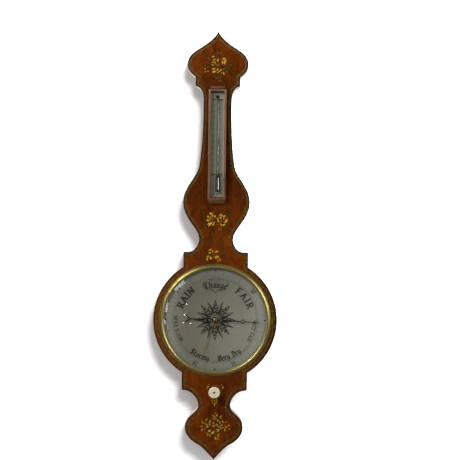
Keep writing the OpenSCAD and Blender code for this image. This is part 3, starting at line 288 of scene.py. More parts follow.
def wood(dark, middle, light, coat=0.15, gloss=0.25, upright=True, figure=0.15, polish=0.2):
    """Straight-grained wood with fine streaks, open pores, and more or less mottled figure."""

    def paint(spot):
        along = spot.stretched(1, 1, 0.14) if upright else spot.stretched(0.14, 1, 1)
        streaks = along.noise(60, 5, 0.6, 0.8)
        lines = along.noise(520, 3, 0.6)
        mottle = spot.stretched(1, 1, 0.75).noise(52, 5, 0.62, 1.0)
        clouds = spot.noise(11, 2)
        pores = along.stretched(1, 1, 0.4 if upright else 1).noise(1500, 2, 0.7).step(0.62, 0.72)
        tone = streaks * (0.64 - 0.4 * figure) + lines * (0.22 - 0.1 * figure)
        tone = tone + mottle * 0.4 * figure + clouds * (0.14 + 0.1 * figure)
        colour = tone.ramp((0.4, dark), (0.5, middle), (0.62, light))
        colour = (pores * 0.4).mix(colour, dark)
        return {
            "Base Color": colour,
            "Roughness": 0.3 + 0.1 * lines + 0.1 * pores,
            "Specular IOR Level": gloss,
            "Coat Weight": coat,
            "Coat Roughness": polish,
            "Normal": (lines * 0.5 - pores).bump(0.00003),
        }

    return paint


def veneered(spot):
    """The front's mahogany: darker on the neck, with painted light making it more orange at the left and
    painted shade darker at the right.
    """
    made = wood(rgb(58, 21, 0), rgb(90, 38, 0), rgb(110, 50, 0), coat=0.05, gloss=0.06, figure=1)(spot)
    x, height = spot.axis("X"), spot.axis("Z") - dial_centre.z
    # Painted light makes the left more orange, and painted shade darkens the right.
    left = (0 - x).step(0.02, 0.15) * 0.6
    right = x.step(0.07, 0.14) * 0.75
    neck = height.step(0.24, 0.34) * (1 - height.step(0.56, 0.62)) * 0.45
    colour = left.mix(made["Base Color"], rgb(114, 55, 0))
    colour = right.mix(colour, rgb(54, 25, 6))
    made["Base Color"] = neck.mix(colour, rgb(58, 24, 1))
    return made


case_wood = finish(
    "case_wood", wood(rgb(84, 44, 26), rgb(120, 70, 46), rgb(150, 94, 64), coat=0.45, gloss=0.35, polish=0.15)
)
dress(case_wood, "neck_board", "round_body", "base_board")
veneer = finish("front_veneer", veneered)
dress(veneer, "front_veneer")


# The edge of the front: a dark rosewood line glued into the corner, bent round the whole
# outline. It is a thin angle strip that shows on the front and on the side.
def piece(name, shape, body, slot, material, ease=None):
    """Turns a bmesh into a piece that rides on a body."""
    mesh = bpy.data.meshes.new(name)
    shape.to_mesh(mesh)
    shape.free()
    mesh.materials.append(material)
    if ease:
        mesh.shade_smooth()
        mesh.set_sharp_from_angle(angle=math.radians(ease))
    made = bpy.data.objects.new(name, mesh)
    bpy.context.collection.objects.link(made)
    if body:
        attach(made, body)
    return made


def front_outline():
    """The veneer's outer edge as one flat face, at the depth of the front."""
    veneer_mesh = bmesh.new()
    veneer_mesh.from_mesh(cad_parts["front_veneer"].data)
    bmesh.ops.remove_doubles(veneer_mesh, verts=veneer_mesh.verts, dist=1e-6)
    off = [f for f in veneer_mesh.faces if f.calc_center_median().y > front_y + 1e-4]
    bmesh.ops.delete(veneer_mesh, geom=off, context="FACES")
    start = max(veneer_mesh.verts, key=lambda v: v.co.z)
    loop, spot = [start], start
    while True:
        ahead = [e.other_vert(spot) for e in spot.link_edges if e.is_boundary]
        ahead = [v for v in ahead if v not in loop[-2:]]
        if not ahead or ahead[0] is start:
            break
        spot = ahead[0]
        loop.append(spot)
    places = [v.co.copy() for v in loop]
    veneer_mesh.free()
    shape = bmesh.new()
    shape.faces.new([shape.verts.new(p) for p in places])
    bmesh.ops.dissolve_degenerate(shape, dist=2e-5, edges=shape.edges)
    shape.normal_update()
    for face in shape.faces:
        if face.normal.y > 0:
            face.normal_flip()
    return shape


edge_line_w = 2.5 * mm
edge_line_t = 0.15 * mm
edge_line_side = 1.5 * mm
edge_wood = finish("edge_line_wood", wood(rgb(26, 6, 2), rgb(44, 11, 3), rgb(64, 20, 5)))

shape = front_outline()
rim = [v for v in shape.verts]
strip = bmesh.ops.inset_region(
    shape, faces=shape.faces[:], thickness=edge_line_w, use_even_offset=True, use_boundary=True
)["faces"]
bmesh.ops.delete(shape, geom=[f for f in shape.faces if f not in strip], context="FACES")
outer = [e for e in shape.edges if e.is_boundary and all(v in rim for v in e.verts)]
sides = bmesh.ops.extrude_edge_only(shape, edges=outer)["geom"]
bmesh.ops.translate(
    shape, verts=[v for v in sides if isinstance(v, bmesh.types.BMVert)], vec=(0, edge_line_side, 0)
)
bmesh.ops.recalc_face_normals(shape, faces=shape.faces)
shape.faces.ensure_lookup_table()
if sum(f.normal.y for f in shape.faces if abs(f.normal.y) > 0.9) > 0:
    bmesh.ops.reverse_faces(shape, faces=shape.faces)
edge_line = piece("edge_line", shape, "case", "veneer", edge_wood)
wall = edge_line.modifiers.new("thickness", "SOLIDIFY")
wall.thickness, wall.offset, wall.use_even_offset = edge_line_t, 1, True


# The border inlaid inside the edge: a chain of green stained leaves, each in a boxwood
# outline, with slanting boxwood ties between them. The chain runs nearer to the edge on
# the narrow neck. All of it is knife-cut veneer.
chain_insets = [
    (130, 9.3), (150, 6.8), (172, 6.8), (200, 8.0), (270, 8.0), (320, 5.3), (560, 5.3), (605, 7.2),
]


def chain_inset(height):
    """The chain's distance from the edge at a height over the dial's middle."""
    inset = chain_insets[0][1]
    for (low, first), (high, last) in zip(chain_insets, chain_insets[1:]):
        if height > low:
            inset = first + (last - first) * min(1, (height - low) / (high - low))
    return inset


def chain_line():
    """Points of a line inside the front's outline, in order."""
    shape = front_outline()
    rim = [flat(v.co) for v in shape.faces[:][0].verts]
    shape.free()
    samples = []
    for one, other in zip(rim, rim[1:] + rim[:1]):
        count = max(1, round((other - one).length))
        samples += [one.lerp(other, i / count) for i in range(count)]
    tree = KDTree(len(samples))
    for i, sample in enumerate(samples):
        tree.insert((*sample, 0), i)
    tree.balance()
    area = sum(a.x * b.y - b.x * a.y for a, b in zip(samples, samples[1:] + samples[:1]))
    line = []
    for i, sample in enumerate(samples):
        way = (samples[(i + 1) % len(samples)] - samples[i - 1]).normalized()
        inset = chain_inset(sample.y)
        spot = sample + Vector((-way.y, way.x)) * math.copysign(inset, area)
        if tree.find((*spot, 0))[2] > inset - 0.35:
            line.append(spot)
    return line


def flat(place):
    """A point on the front as millimetres right of and above the middle of the dial."""
    return Vector(((place.x - dial_centre.x) / mm, (place.z - dial_centre.z) / mm))


def paced(line, pitch):
    """Walks a closed line in equal steps, and gives each step's place and direction."""
    lengths = [(b - a).length for a, b in zip(line, line[1:] + line[:1])]
    count = round(sum(lengths) / pitch)
    stride = sum(lengths) / count
    i, done = 0, 0.0
    for n in range(count):
        while done + lengths[i] < n * stride:
            done += lengths[i]
            i += 1
        one, other = line[i], line[(i + 1) % len(line)]
        yield one.lerp(other, (n * stride - done) / lengths[i]), (other - one).normalized()


def blade(shape, root, angle, length, width, swell, bend=0.0):
    """A flat leaf or petal that starts at its root, with u across it and v along it."""
    made = bmesh.ops.create_grid(shape, x_segments=2, y_segments=8, size=0.5)["verts"]
    layer = shape.loops.layers.uv.verify()
    for vert in made:
        for loop in vert.link_loops:
            loop[layer].uv = (vert.co.x + 0.5, vert.co.y + 0.5)
    for vert in made:
        along = vert.co.y + 0.5
        across = vert.co.x * swell(along) + bend * math.sin(math.pi * along)
        vert.co = Vector((across * width, along * length, 0))
    turn = Matrix.Rotation(-math.radians(angle), 4, "Z")
    bmesh.ops.transform(shape, matrix=Matrix.Translation((*root, 0)) @ turn, verts=made)


def leaf_swell(along):
    return math.sin(math.pi * min(1, along * 1.02)) ** 0.75 * (1.15 - 0.3 * along)


def petal_swell(along):
    return 0.2 + 0.9 * math.sin(math.pi * along**1.2 * 0.93) ** 0.8


def strap_swell(along):
    return (1 - (2 * along - 1) ** 6) ** 0.5


def lay(name, shape, depth_y, body, slot, material, thick=0.25, proud=0.1):
    """Lets flat work into a face that looks to the front, with its top a little proud."""
    place = Matrix.Translation((dial_centre.x, depth_y - proud * mm, dial_centre.z))
    bmesh.ops.remove_doubles(shape, verts=shape.verts, dist=0.004)
    bmesh.ops.transform(shape, matrix=place @ facing @ Matrix.Scale(mm, 4), verts=shape.verts)
    shape.normal_update()
    for face in shape.faces:
        if face.normal.y > 0:
            face.normal_flip()
    made = piece(name, shape, body, slot, material)
    wall = made.modifiers.new("thickness", "SOLIDIFY")
    wall.thickness, wall.offset = thick * mm, -1
    return made


def inlay(pale, deep, root, shading=0.6, ribs=0.5):
    """Veneer shaded in hot sand towards its root, with fine engraved lines along it."""

    def paint(spot):
        uv = spot.node("TexCoord", {}, {}, out="UV")
        along, across = uv.axis("Y"), uv.axis("X")
        shade = 1 - along.step(0.0, 0.5)
        cuts = (across * 20.0 + along * 2.0).maths("SINE").step(0.5, 1.0) * (1 - along.step(0.2, 0.7))
        grain = spot.noise(900, 3, 0.6)
        colour = spot.noise(90, 2).step(0.35, 0.65).mix(deep, pale)
        colour = (grain * 0.4).mix(colour, deep)
        colour = (shade * shading).mix(colour, root)
        colour = (cuts * ribs).mix(colour, root)
        return {
            "Base Color": colour, "Roughness": 0.34 + 0.12 * grain, "Specular IOR Level": 0.25,
            "Coat Weight": 0.15, "Coat Roughness": 0.2,
        }

    return paint


def chained(spot):
    """Stained green, greyer on the head, more olive down the neck and dark at the foot."""
    made = inlay(rgb(64, 68, 36), rgb(44, 48, 22), rgb(28, 30, 12), 0.3, 0.3)(spot)
    height = spot.axis("Z") - dial_centre.z
    grey = height.step(0.52, 0.64) * 0.7
    olive = height.step(0.18, 0.3) * (1 - height.step(0.48, 0.58)) * 0.6
    made["Base Color"] = grey.mix(made["Base Color"], rgb(74, 78, 50))
    made["Base Color"] = olive.mix(made["Base Color"], rgb(66, 66, 16))
    return made


green_chain = finish("green_chain", chained)
gold_line = finish("boxwood_line", inlay(rgb(142, 94, 20), rgb(112, 70, 10), rgb(88, 50, 4), 0.2, 0.2))

leaf_pitch = 18.6
leaf_len = 12.6
shape, outlines, ties = (bmesh.new() for _ in range(3))
for spot, way in paced(chain_line(), leaf_pitch):
    angle = math.degrees(math.atan2(way.x, way.y))
    blade(outlines, spot - way * (leaf_len / 2 + 1.2), angle + 4, leaf_len + 2.4, 6.3, leaf_swell, bend=0.06)
    blade(shape, spot - way * leaf_len / 2, angle + 4, leaf_len, 4.6, strap_swell, bend=0.08)
    middle = spot + way * leaf_pitch / 2
    for lean in (-38, 32):
        slant = math.radians(angle + lean)
        reach = Vector((math.sin(slant), math.cos(slant))) * 3.6
        blade(ties, middle - reach, angle + lean, 7.2, 1.2, strap_swell)
lay("border_outlines", outlines, front_y, "case", "veneer", gold_line, proud=0.05)
lay("border_ties", ties, front_y, "case", "veneer", gold_line, proud=0.04)
lay("border_leaves", shape, front_y, "case", "veneer", green_chain)


# The flower sprays: petals of box and holly, stained leaves, berries and thin stems, each
# with an edge burnt dark in hot sand. A petal or leaf is its root in millimetres from the
# dial's middle, its angle clockwise from upright, its length and width; a dot is place and radius.
GOLD_PETALS = [
    (-8.3, 660, -107, 7.2, 3.2), (-5.1, 653, -110, 9.6, 3.5), (0.8, 654.1, -162, 8.1, 4.8),
    (-10.6, 645.2, -104, 5.5, 3.4), (-4.7, 646, -102, 5.8, 2.5), (-10.3, 637.9, -92, 6.1, 2.5),
    (-3.6, 640.8, -92, 6.8, 1.8), (-4.3, 628.5, -96, 11.1, 3.5), (-4.2, 622, -100, 10.9, 5.2),
    (2, 630, -135, 9.1, 2.5), (5.1, 624.4, -133, 9.8, 3.2), (8.5, 628.6, -150, 7.2, 3.6),
    (10.4, 638.8, 4, 10, 4.0), (10, 652.4, 75, 8, 4.8), (17, 652.9, 168, 8, 4.6),
    (15.2, 638.1, 5, 8.6, 3.8), (13.5, 622.7, 172, 9.2, 3.8), (-17.5, 269.2, 113, 9.3, 3.6),
    (-12.7, 260.6, -30, 8.5, 2.9), (-8.4, 257.5, -9, 6.1, 5), (-3.7, 254.4, 7, 8.4, 2.9),
    (-20, 254.2, -14, 7.2, 4.5), (-16.2, 249.2, -93, 8.1, 5.5), (-15.9, 250.7, 4, 8.4, 2.9),
    (-7.8, 247.7, -141, 17.9, 3.6), (-12.3, 244.9, -121, 11.5, 3.4), (-3.8, 247.3, -157, 12.5, 3.4),
    (6.3, 258.6, 33, 9.6, 3.2), (10.7, 265.9, 138, 8.9, 3.2), (11.5, 252.8, -7, 6.1, 5.4),
    (16.6, 257.8, 60, 8, 3.4), (18.5, 250.7, 4, 6, 2.7), (21.6, 249.8, 65, 7.2, 4.5),
    (19, 243.5, 55, 9.8, 5.2), (6.4, 250.5, -42, 7.4, 3.4), (8, 243, -28, 9.4, 3.6),
    (9.6, 242.1, 136, 9.5, 4.5), (13.3, 235.4, 64, 9.8, 4.6), (-19, 173.2, 60, 9, 3.2),
    (-14.3, 165, -22, 5.5, 4.5), (-8.2, 167.8, 1, 6.5, 3.2), (-4.5, 169, 71, 11, 4.1),
    (-17.8, 162.3, -146, 8.5, 4.3), (-21, 158.2, -178, 9.3, 4.5), (-14.8, 160.1, 161, 9.8, 4.8),
    (-3.7, 160.7, 141, 8.9, 4.5), (0.8, 162.1, 132, 8.2, 4.5), (7.6, 155.4, 148, 8.1, 2.5),
    (5.8, 151.4, -169, 4.7, 2.1),
]
GREEN_LEAVES = [
    (-4.4, 655.8, -33, 9.5, 3.8), (-0.2, 657.1, 64, 8.1, 3.1), (-18.7, 646.9, -34, 6.6, 2.8),
    (-18.3, 638.8, -40, 8, 3.5), (-18.2, 636.9, -124, 8.3, 2.9), (-28.8, 637.5, -104, 6.4, 3.5),
    (17.6, 650.5, 55, 6.8, 3.1), (28.7, 640.1, -43, 6.5, 3.6), (20.4, 629.8, 72, 6.9, 3.1),
    (19.3, 628.1, 134, 7.8, 3.4), (26.8, 626.7, 128, 7.4, 3.5), (-0.8, 613.8, 137, 5.9, 2.8),
    (8.1, 608.3, 90, 8.4, 3.5), (3.2, 606.8, 140, 7.5, 3.4), (15.9, 630.8, 30, 4.2, 2.5),
    (-39.9, 276.3, 164, 7.7, 3.2), (-31.1, 271.3, -141, 6.7, 3), (-40.4, 263.4, 89, 5.6, 2.5),
    (-26.5, 265.8, 143, 6.9, 3.8), (-27.3, 255.9, -142, 8.3, 3.2), (-23.2, 243.5, -158, 11.1, 3.6),
    (-23.3, 233.2, 134, 4.6, 3.2), (8.3, 275.4, -166, 8, 3.6), (0.4, 268.5, 110, 6.4, 3),
    (24.3, 268.8, 120, 8, 3), (32.7, 270, -144, 6.9, 3), (40.3, 273.7, -136, 7.4, 3),
    (34.8, 264.7, 103, 3.8, 2.5), (28.6, 260.2, 116, 7.8, 3), (25.5, 242, 138, 9.5, 3.2),
    (23.1, 236, 179, 7, 3.6), (-18, 200.7, 140, 7.2, 3), (-15.3, 195.8, 155, 4.6, 2.3),
    (-19.2, 192.6, 103, 3.8, 2.7), (-19.1, 183.2, 119, 3.7, 2.9), (-13.3, 184.2, 119, 3.7, 2.9),
    (17.6, 213.6, -136, 7.8, 3), (12.6, 202.8, 156, 8.1, 3), (15.2, 185, 163, 8.7, 3.4),
    (18, 176.1, 121, 4.4, 2.7), (-31.9, 169.9, 119, 8.2, 3), (-29.4, 161.9, -115, 7.8, 3),
    (-31.3, 154.1, -161, 5.4, 3.6), (-43.7, 151.7, 86, 3.5, 3.2), (15.7, 166, -134, 8.9, 3.6),
    (22.6, 168.7, 119, 6.4, 3), (26.2, 161.9, -144, 4.6, 3), (21.8, 156.1, -115, 4.6, 3),
    (31.2, 153.9, -163, 5.4, 2.5), (33.7, 154.6, 116, 7, 2.7),
]
OLIVE_LEAVES = [
    (18.7, 624.5, 129, 9.1, 2.1), (17.3, 630.1, -124, 6.6, 3.1), (-23.6, 641.6, -49, 4.9, 1.8),
    (-27, 634.9, 164, 6.8, 1.8), (-1.4, 663.9, -1, 8, 2.7), (2.8, 665.7, 63, 8.2, 2.9),
    (-22.3, 652.5, -58, 6.1, 2.9), (3.6, 600.5, 132, 5.4, 2.4), (-6, 608.1, 142, 7.3, 2.1),
    (29.8, 636.3, 52, 6, 2.7), (2.4, 608.9, 110, 6.2, 1.4),
]
BASE_LEAVES = [
    (-12.8, -160, -150, 14, 3.4), (-17.4, -172, 20, 7, 2.6), (18.4, -172.6, 26, 8.8, 2.6),
    (16.8, -165.1, 23, 6, 2.2), (22.2, -171.1, 21, 4.2, 1.8), (-3.2, -198.7, -80, 4.3, 1.8),
    (-2.4, -204, -48, 6.9, 2.4), (4.3, -198.6, 80, 4.8, 1.8), (3.6, -203.9, 51, 6.4, 2.4),
    (-1.6, -208.5, -62, 5.9, 2), (2.9, -208.4, 61, 5.9, 2), (0.9, -205.4, 179, 9.8, 2.9),
    (0.8, -197.9, 179, 6.3, 2.3),
    (5.7, -244.6, -53, 12.2, 2.4), (7, -242.6, 7, 8.8, 3.5), (12.6, -244.5, 47, 10.3, 2.6),
    (3.6, -247.5, -87, 9.4, 1.9), (0.1, -249.2, 64, 8.7, 3), (14.4, -245, 98, 5.5, 1.6),
    (2.9, -235.8, 23, 6.3, 1.6), (-24, -252.9, 50, 12.6, 2.2), (-26, -260.1, -34, 9, 3),
    (-24.7, -259.8, 50, 5.8, 2.2), (-25.7, -265.7, -91, 9.4, 2.4), (-27.4, -270.2, -150, 9.3, 3.2),
    (-24.6, -270.7, 142, 6, 1.8), (24.2, -257.5, -30, 8.1, 3.2), (27.1, -258.1, 34, 7.6, 2.4),
    (26.5, -263, 138, 9.9, 3.7), (24.6, -271, -25, 5.9, 2.4), (27.4, -269.6, 178, 9, 3.5),
    (33.6, -263.9, 75, 6.8, 3.2), (35.8, -269.7, 130, 7.6, 1.9), (-11.9, -281.4, -104, 9.6, 2),
    (-11.9, -283, -143, 9.8, 2.8), (-11.3, -285.4, 152, 7.8, 2.4), (7.3, -289.6, 52, 11.5, 3),
    (8.3, -288.6, 121, 7.8, 2.4), (1.8, -290.8, 155, 10, 3.5), (6.8, -294, 132, 8.6, 2.4),
]
BASE_PETALS = [
    (-5.5, -260.5, 30, 5, 3), (0.2, -258.6, 15, 5.5, 3),
    (-11.6, -259.5, 19, 8.8, 3.2), (-12.6, -257.9, 150, 6.5, 2.7), (-6.8, -259.9, 59, 10.4, 3.2),
    (7.3, -253.3, 41, 5.6, 4), (13.2, -251.6, 161, 7.9, 2.7), (5.6, -257.3, 151, 8.8, 2.7),
    (14, -265.4, 62, 9.6, 3), (8.7, -268.2, 71, 8.8, 2.4), (5.5, -274.6, 80, 8.4, 2.7),
    (14.7, -271.6, 63, 5.6, 3.5), (15.1, -275, -122, 8.7, 2.7), (-16.9, -263.2, -32, 4.8, 3.7),
    (-14.9, -268.3, -68, 4.3, 4), (-12.5, -269.5, -32, 6.8, 2.2), (-7, -274.6, -119, 7.8, 5.6),
    (2.4, -276.5, -132, 12.6, 4.8),
]
BERRIES = [
    (-32.5, 628.1, 2.2), (-31.7, 621.1, 2.2), (-25.1, 621.9, 2.4), (9, 617.8, 2), (9.3, 230.7, 1.3),
    (6.7, 226.4, 1.5), (12.5, 225.4, 1.5), (-7, 156.4, 1.4), (1.8, 239.6, 1.4), (-0.6, -265, 3.4),
    (2.8, -263.4, 2.3),
]
RED_SPOTS = [
    (6.3, 636.7, 1.7), (-5.9, 632.5, 1.5), (-1.5, 643.5, 1.1), (-8.4, 255.7, 1.4), (16.9, 246, 1.6),
    (-12.2, 161.5, 1.6), (6, -266.6, 1.6),
]
GREEN_HEARTS = [
    (-1.8, 636.6, 2.8), (1.6, 638.7, 1.8), (-10.6, 253, 3.6), (12.4, 247.9, 3.4), (-7.1, 163.6, 2.3),
]
STEMS = [
    ((-11.5, 219.5), (-10.1, 211.9), (-2.3, 199.5), (5.4, 184.4)),
    ((-12.8, 214.6), (-10.0, 206.6), (-3.2, 197.7), (1.3, 191.5)),
    ((-7.9, 215.5), (-4.2, 208.4), (1.2, 200.5), (4.4, 195.1)),
    ((16.2, 214.0), (14.5, 205.1), (14.7, 191.7), (19.4, 174.8)),
    ((9.7, 161.3), (15.9, 169.4), (19.4, 172.1), (27.0, 173.5)),
    ((-10, 615), (-7, 606), (-2, 601), (2, 596)), ((-24, 632), (-20, 638), (-16, 642), (-12, 644)),
    ((0, 650), (0, 656), (0, 661), (1, 666)), ((14, 636), (20, 634), (25, 636), (31, 638)),
    ((-2, -246), (3, -241), (6, -238), (8, -234)), ((-24, -262), (-19, -262), (-15, -262), (-11, -262)),
    ((24, -264), (20, -264), (16, -265), (12, -266)), ((2, -282), (4, -286), (5, -290), (6, -294)),
]


def stem(shape, points, width):
    """A ribbon along a curve with four control points, thinner to its end."""
    spots = interpolate_bezier(*[Vector((*p, 0)) for p in points], 12)
    edge = None
    for i, spot in enumerate(spots):
        way = (spots[min(i + 1, 11)] - spots[max(i - 1, 0)]).normalized()
        half = Vector((-way.y, way.x, 0)) * width * (1 - 0.4 * i / 11) / 2
        if edge is None:
            edge = shape.edges.new([shape.verts.new(spot - half), shape.verts.new(spot + half)])
        else:
            grown = bmesh.ops.extrude_edge_only(shape, edges=[edge])["geom"]
            edge = next(g for g in grown if isinstance(g, bmesh.types.BMEdge))
            low, high = edge.verts
            if (low.co - high.co).dot(half) > 0:
                low, high = high, low
            low.co, high.co = spot - half, spot + half


def dot(shape, centre, radius, sides=12):
    bmesh.ops.create_circle(
        shape, cap_ends=True, segments=sides, radius=radius, matrix=Matrix.Translation((*centre, 0))
    )


def spray(blades, swell, name, material, ground, edge, proud, slim=1.0):
    """Lays a list of petals or leaves, and adds the dark edge of each to the ground."""
    shape = bmesh.new()
    for x, h, angle, length, width in blades:
        bend = luck.uniform(-0.1, 0.1)
        slant = math.radians(angle)
        root = Vector((x, h)) - Vector((math.sin(slant), math.cos(slant))) * edge
        blade(shape, (x, h), angle, length, width * slim, swell, bend)
        blade(ground, root, angle, length + 2 * edge, width + 2 * edge, swell, bend)
    lay(name, shape, front_y, "case", "veneer", material, proud=proud)


luck = random.Random(4)
ground, stems, berries, hearts, spots = (bmesh.new() for _ in range(5))
golden = finish("golden_petals", inlay(rgb(208, 162, 44), rgb(180, 130, 24), rgb(112, 66, 6)))
base_gold = finish("base_leaves", inlay(rgb(196, 148, 14), rgb(160, 112, 8), rgb(96, 56, 4)))
creamy = finish("cream_petals", inlay(rgb(184, 160, 78), rgb(150, 126, 50), rgb(96, 66, 12)))
green = finish("green_leaves", inlay(rgb(42, 68, 10), rgb(26, 48, 5), rgb(14, 22, 2)))
olive = finish("olive_leaves", inlay(rgb(128, 112, 22), rgb(92, 80, 12), rgb(52, 40, 4)))
twig = finish("twig_inlay", inlay(rgb(118, 88, 14), rgb(84, 58, 8), rgb(60, 36, 4)))
red = finish("red_spots", inlay(rgb(132, 30, 12), rgb(104, 22, 6), rgb(70, 12, 4)))
heart = finish("green_hearts", inlay(rgb(150, 130, 16), rgb(112, 100, 12), rgb(70, 60, 8)))
dark_ground = finish("burnt_edges", inlay(rgb(54, 22, 3), rgb(42, 16, 2), rgb(34, 10, 2)))
spray(GOLD_PETALS, petal_swell, "spray_petals", golden, ground, 0.6, 0.12, 0.88)
spray(BASE_PETALS, petal_swell, "base_petals", creamy, ground, 0.6, 0.12, 0.9)
spray(BASE_LEAVES, leaf_swell, "base_leaves", base_gold, ground, 0.4, 0.1)
spray(GREEN_LEAVES, leaf_swell, "spray_leaves", green, ground, 0.3, 0.09)
spray(OLIVE_LEAVES, leaf_swell, "spray_olive_leaves", olive, ground, 0.3, 0.08)
for points in STEMS:
    stem(stems, points, 1.3)
for shape, places in [(berries, BERRIES), (spots, RED_SPOTS), (hearts, GREEN_HEARTS)]:
    for x, h, radius in places:
        dot(shape, (x, h), radius)
for name, shape, proud, material in [
    ("spray_edges", ground, 0.04, dark_ground), ("spray_stems", stems, 0.06, twig),
    ("spray_berries", berries, 0.12, golden), ("spray_hearts", hearts, 0.14, heart),
    ("spray_spots", spots, 0.16, red),
]:
    shape.loops.layers.uv.verify()
    lay(name, shape, front_y, "case", "veneer", material, proud=proud)


def hoop(shape, radius, width, steps=180, centre=(0, 0)):
    """A flat ring."""
    low = shape.verts.new((centre[0] + radius, centre[1], 0))
    high = shape.verts.new((centre[0] + radius + width, centre[1], 0))
    edge = shape.edges.new((low, high))
    bmesh.ops.spin(
        shape, geom=[low, high, edge], cent=(*centre, 0), axis=(0, 0, 1), angle=math.tau,
        steps=steps, use_merge=True,
    )


knob_h = -180
shape = bmesh.new()
hoop(shape, 17.0, 1.2, 72, (0, knob_h))
shape.loops.layers.uv.verify()
lay("knob_ring_inlay", shape, front_y, "case", "veneer", gold_line, proud=0.08)


# The dial: a brass plate, silvered with a matt bloom and brushed in fine circles. It is
# screwed down at four points just inside the bezel, with small blued screws.
dial_y = dial_low.y


def silvered(pale, deep, warm):
    """Silvered brass under old lacquer, brushed round the middle, with faint stains. Painted light makes it
    lighter towards the lower right and at the far left and right, and a painted reflection of the glass's
    haze lightens the scale ring.
    """

    def paint(spot):
        x, z = spot.axis("X") - dial_centre.x, spot.axis("Z") - dial_centre.z
        bloom = spot.noise(16, 4, 0.6, 0.4)
        stains = spot.noise(45, 5, 0.65, 1.5).step(0.6, 0.75)
        # Painted light: the silver is lighter towards the lower right.
        painted_light_slope = (x * 0.8 - z * 0.5 + (bloom - 0.5) * 0.12).step(-0.14, 0.14)
        colour = painted_light_slope.mix(deep, pale)
        colour = ((bloom * 1.0 - x * 3.0 - z * 3.0).step(0.5, 1.0) * 0.5).mix(colour, warm)
        colour = (stains * 0.22).mix(colour, warm)
        # Painted reflection: the glass's haze, lightening the scale ring.
        colour = ((x * x + z * z).step(0.0106, 0.0112) * 0.2).mix(colour, rgb(156, 156, 156))
        # Painted light: lighter at the far left and far right of the dial.
        colour = ((x * x).step(0.004, 0.012) * 0.3).mix(colour, rgb(190, 188, 172))
        rings = ((x * x + z * z).maths("SQRT") * 5200).maths("SINE") * 0.5
        return {
            "Base Color": colour,
            "Metallic": 0.3,
            "Roughness": 0.42 + 0.1 * stains,
            "Normal": (rings + spot.noise(1400, 2) * 0.6).bump(0.00001),
        }

    return paint


silver = finish("silvered_dial", silvered(rgb(158, 156, 141), rgb(114, 111, 94), rgb(118, 109, 82)))
dress(silver, "dial_plate")


def steel(pale, deep, rough):
    """Steel with a fine random polish."""

    def paint(spot):
        haze = spot.noise(260, 3, 0.6)
        return {
            "Base Color": haze.ramp((0.35, deep), (0.65, pale)),
            "Metallic": 1.0,
            "Roughness": rough + 0.14 * haze,
        }

    return paint


blued = finish("blued_steel", steel(rgb(22, 23, 32), rgb(12, 12, 17), 0.25))
dress(blued, "dial_screws")


# The lettering of the dial, cut with a graver and filled with black wax. Every letter is
# drawn as the strokes of a broad pen, held flat for the capitals and numbers, and at a
# slant for the words in black letter.
def arc(x, y, across, tall, start, end, steps=9):
    """Points along part of an ellipse, from one angle to another."""
    angles = [math.radians(start + (end - start) * i / steps) for i in range(steps + 1)]
    return [(x + across * math.cos(a), y + tall * math.sin(a)) for a in angles]


def foot(x, y, half=0.2):
    return [(x - half, y), (x + half, y)]


CAPITALS = {
    "R": (0.86, [
        [(0.2, 0), (0.2, 1)], foot(0.2, 0), foot(0.14, 1, 0.15),
        [(0.2, 1), *arc(0.44, 0.76, 0.24, 0.24, 90, -90), (0.2, 0.52)],
        [(0.42, 0.52), (0.76, 0)], foot(0.78, 0, 0.14)]),
    "A": (0.94, [
        [(0.14, 0), (0.46, 1)], [(0.46, 1), (0.8, 0)], [(0.26, 0.34), (0.68, 0.34)],
        foot(0.14, 0), foot(0.8, 0)]),
    "I": (0.44, [[(0.22, 0), (0.22, 1)], foot(0.22, 0), foot(0.22, 1)]),
    "N": (0.96, [
        [(0.18, 0), (0.18, 1)], [(0.18, 1), (0.76, 0)], [(0.76, 0), (0.76, 1)],
        foot(0.18, 0), foot(0.1, 1, 0.16), foot(0.76, 1)]),
    "F": (0.76, [
        [(0.2, 0), (0.2, 1)], [(0.08, 1), (0.66, 1), (0.66, 0.82)], [(0.2, 0.52), (0.5, 0.52)],
        [(0.5, 0.62), (0.5, 0.42)], foot(0.2, 0)]),
    "M": (1.1, [
        [(0.18, 0), (0.18, 1)], [(0.18, 1), (0.54, 0.1)], [(0.54, 0.1), (0.9, 1)],
        [(0.9, 1), (0.9, 0)], foot(0.18, 0), foot(0.9, 0)]),
    "U": (0.9, [
        [(0.18, 1), (0.18, 0.3), *arc(0.45, 0.3, 0.27, 0.3, 180, 360), (0.72, 1)],
        foot(0.18, 1), foot(0.72, 1)]),
    "C": (0.86, [[*arc(0.46, 0.5, 0.32, 0.5, 48, 312)], [(0.7, 0.98), (0.7, 0.74)]]),
    "H": (0.94, [
        [(0.2, 0), (0.2, 1)], [(0.74, 0), (0.74, 1)], [(0.2, 0.5), (0.74, 0.5)],
        foot(0.2, 0), foot(0.2, 1), foot(0.74, 0), foot(0.74, 1)]),
    "S": (0.7, [
        [*arc(0.36, 0.75, 0.2, 0.25, 30, 270), *arc(0.34, 0.25, 0.24, 0.25, 90, -150)],
        [(0.56, 0.98), (0.56, 0.78)], [(0.1, 0.22), (0.1, 0.02)]]),
    "E": (0.78, [
        [(0.2, 0), (0.2, 1)], [(0.08, 1), (0.66, 1), (0.66, 0.82)], [(0.2, 0.52), (0.5, 0.52)],
        [(0.08, 0), (0.7, 0), (0.7, 0.2)]]),
    "T": (0.8, [
        [(0.4, 0), (0.4, 1)], [(0.08, 0.8), (0.08, 1), (0.72, 1), (0.72, 0.8)], foot(0.4, 0)]),
    " ": (0.5, []),
}
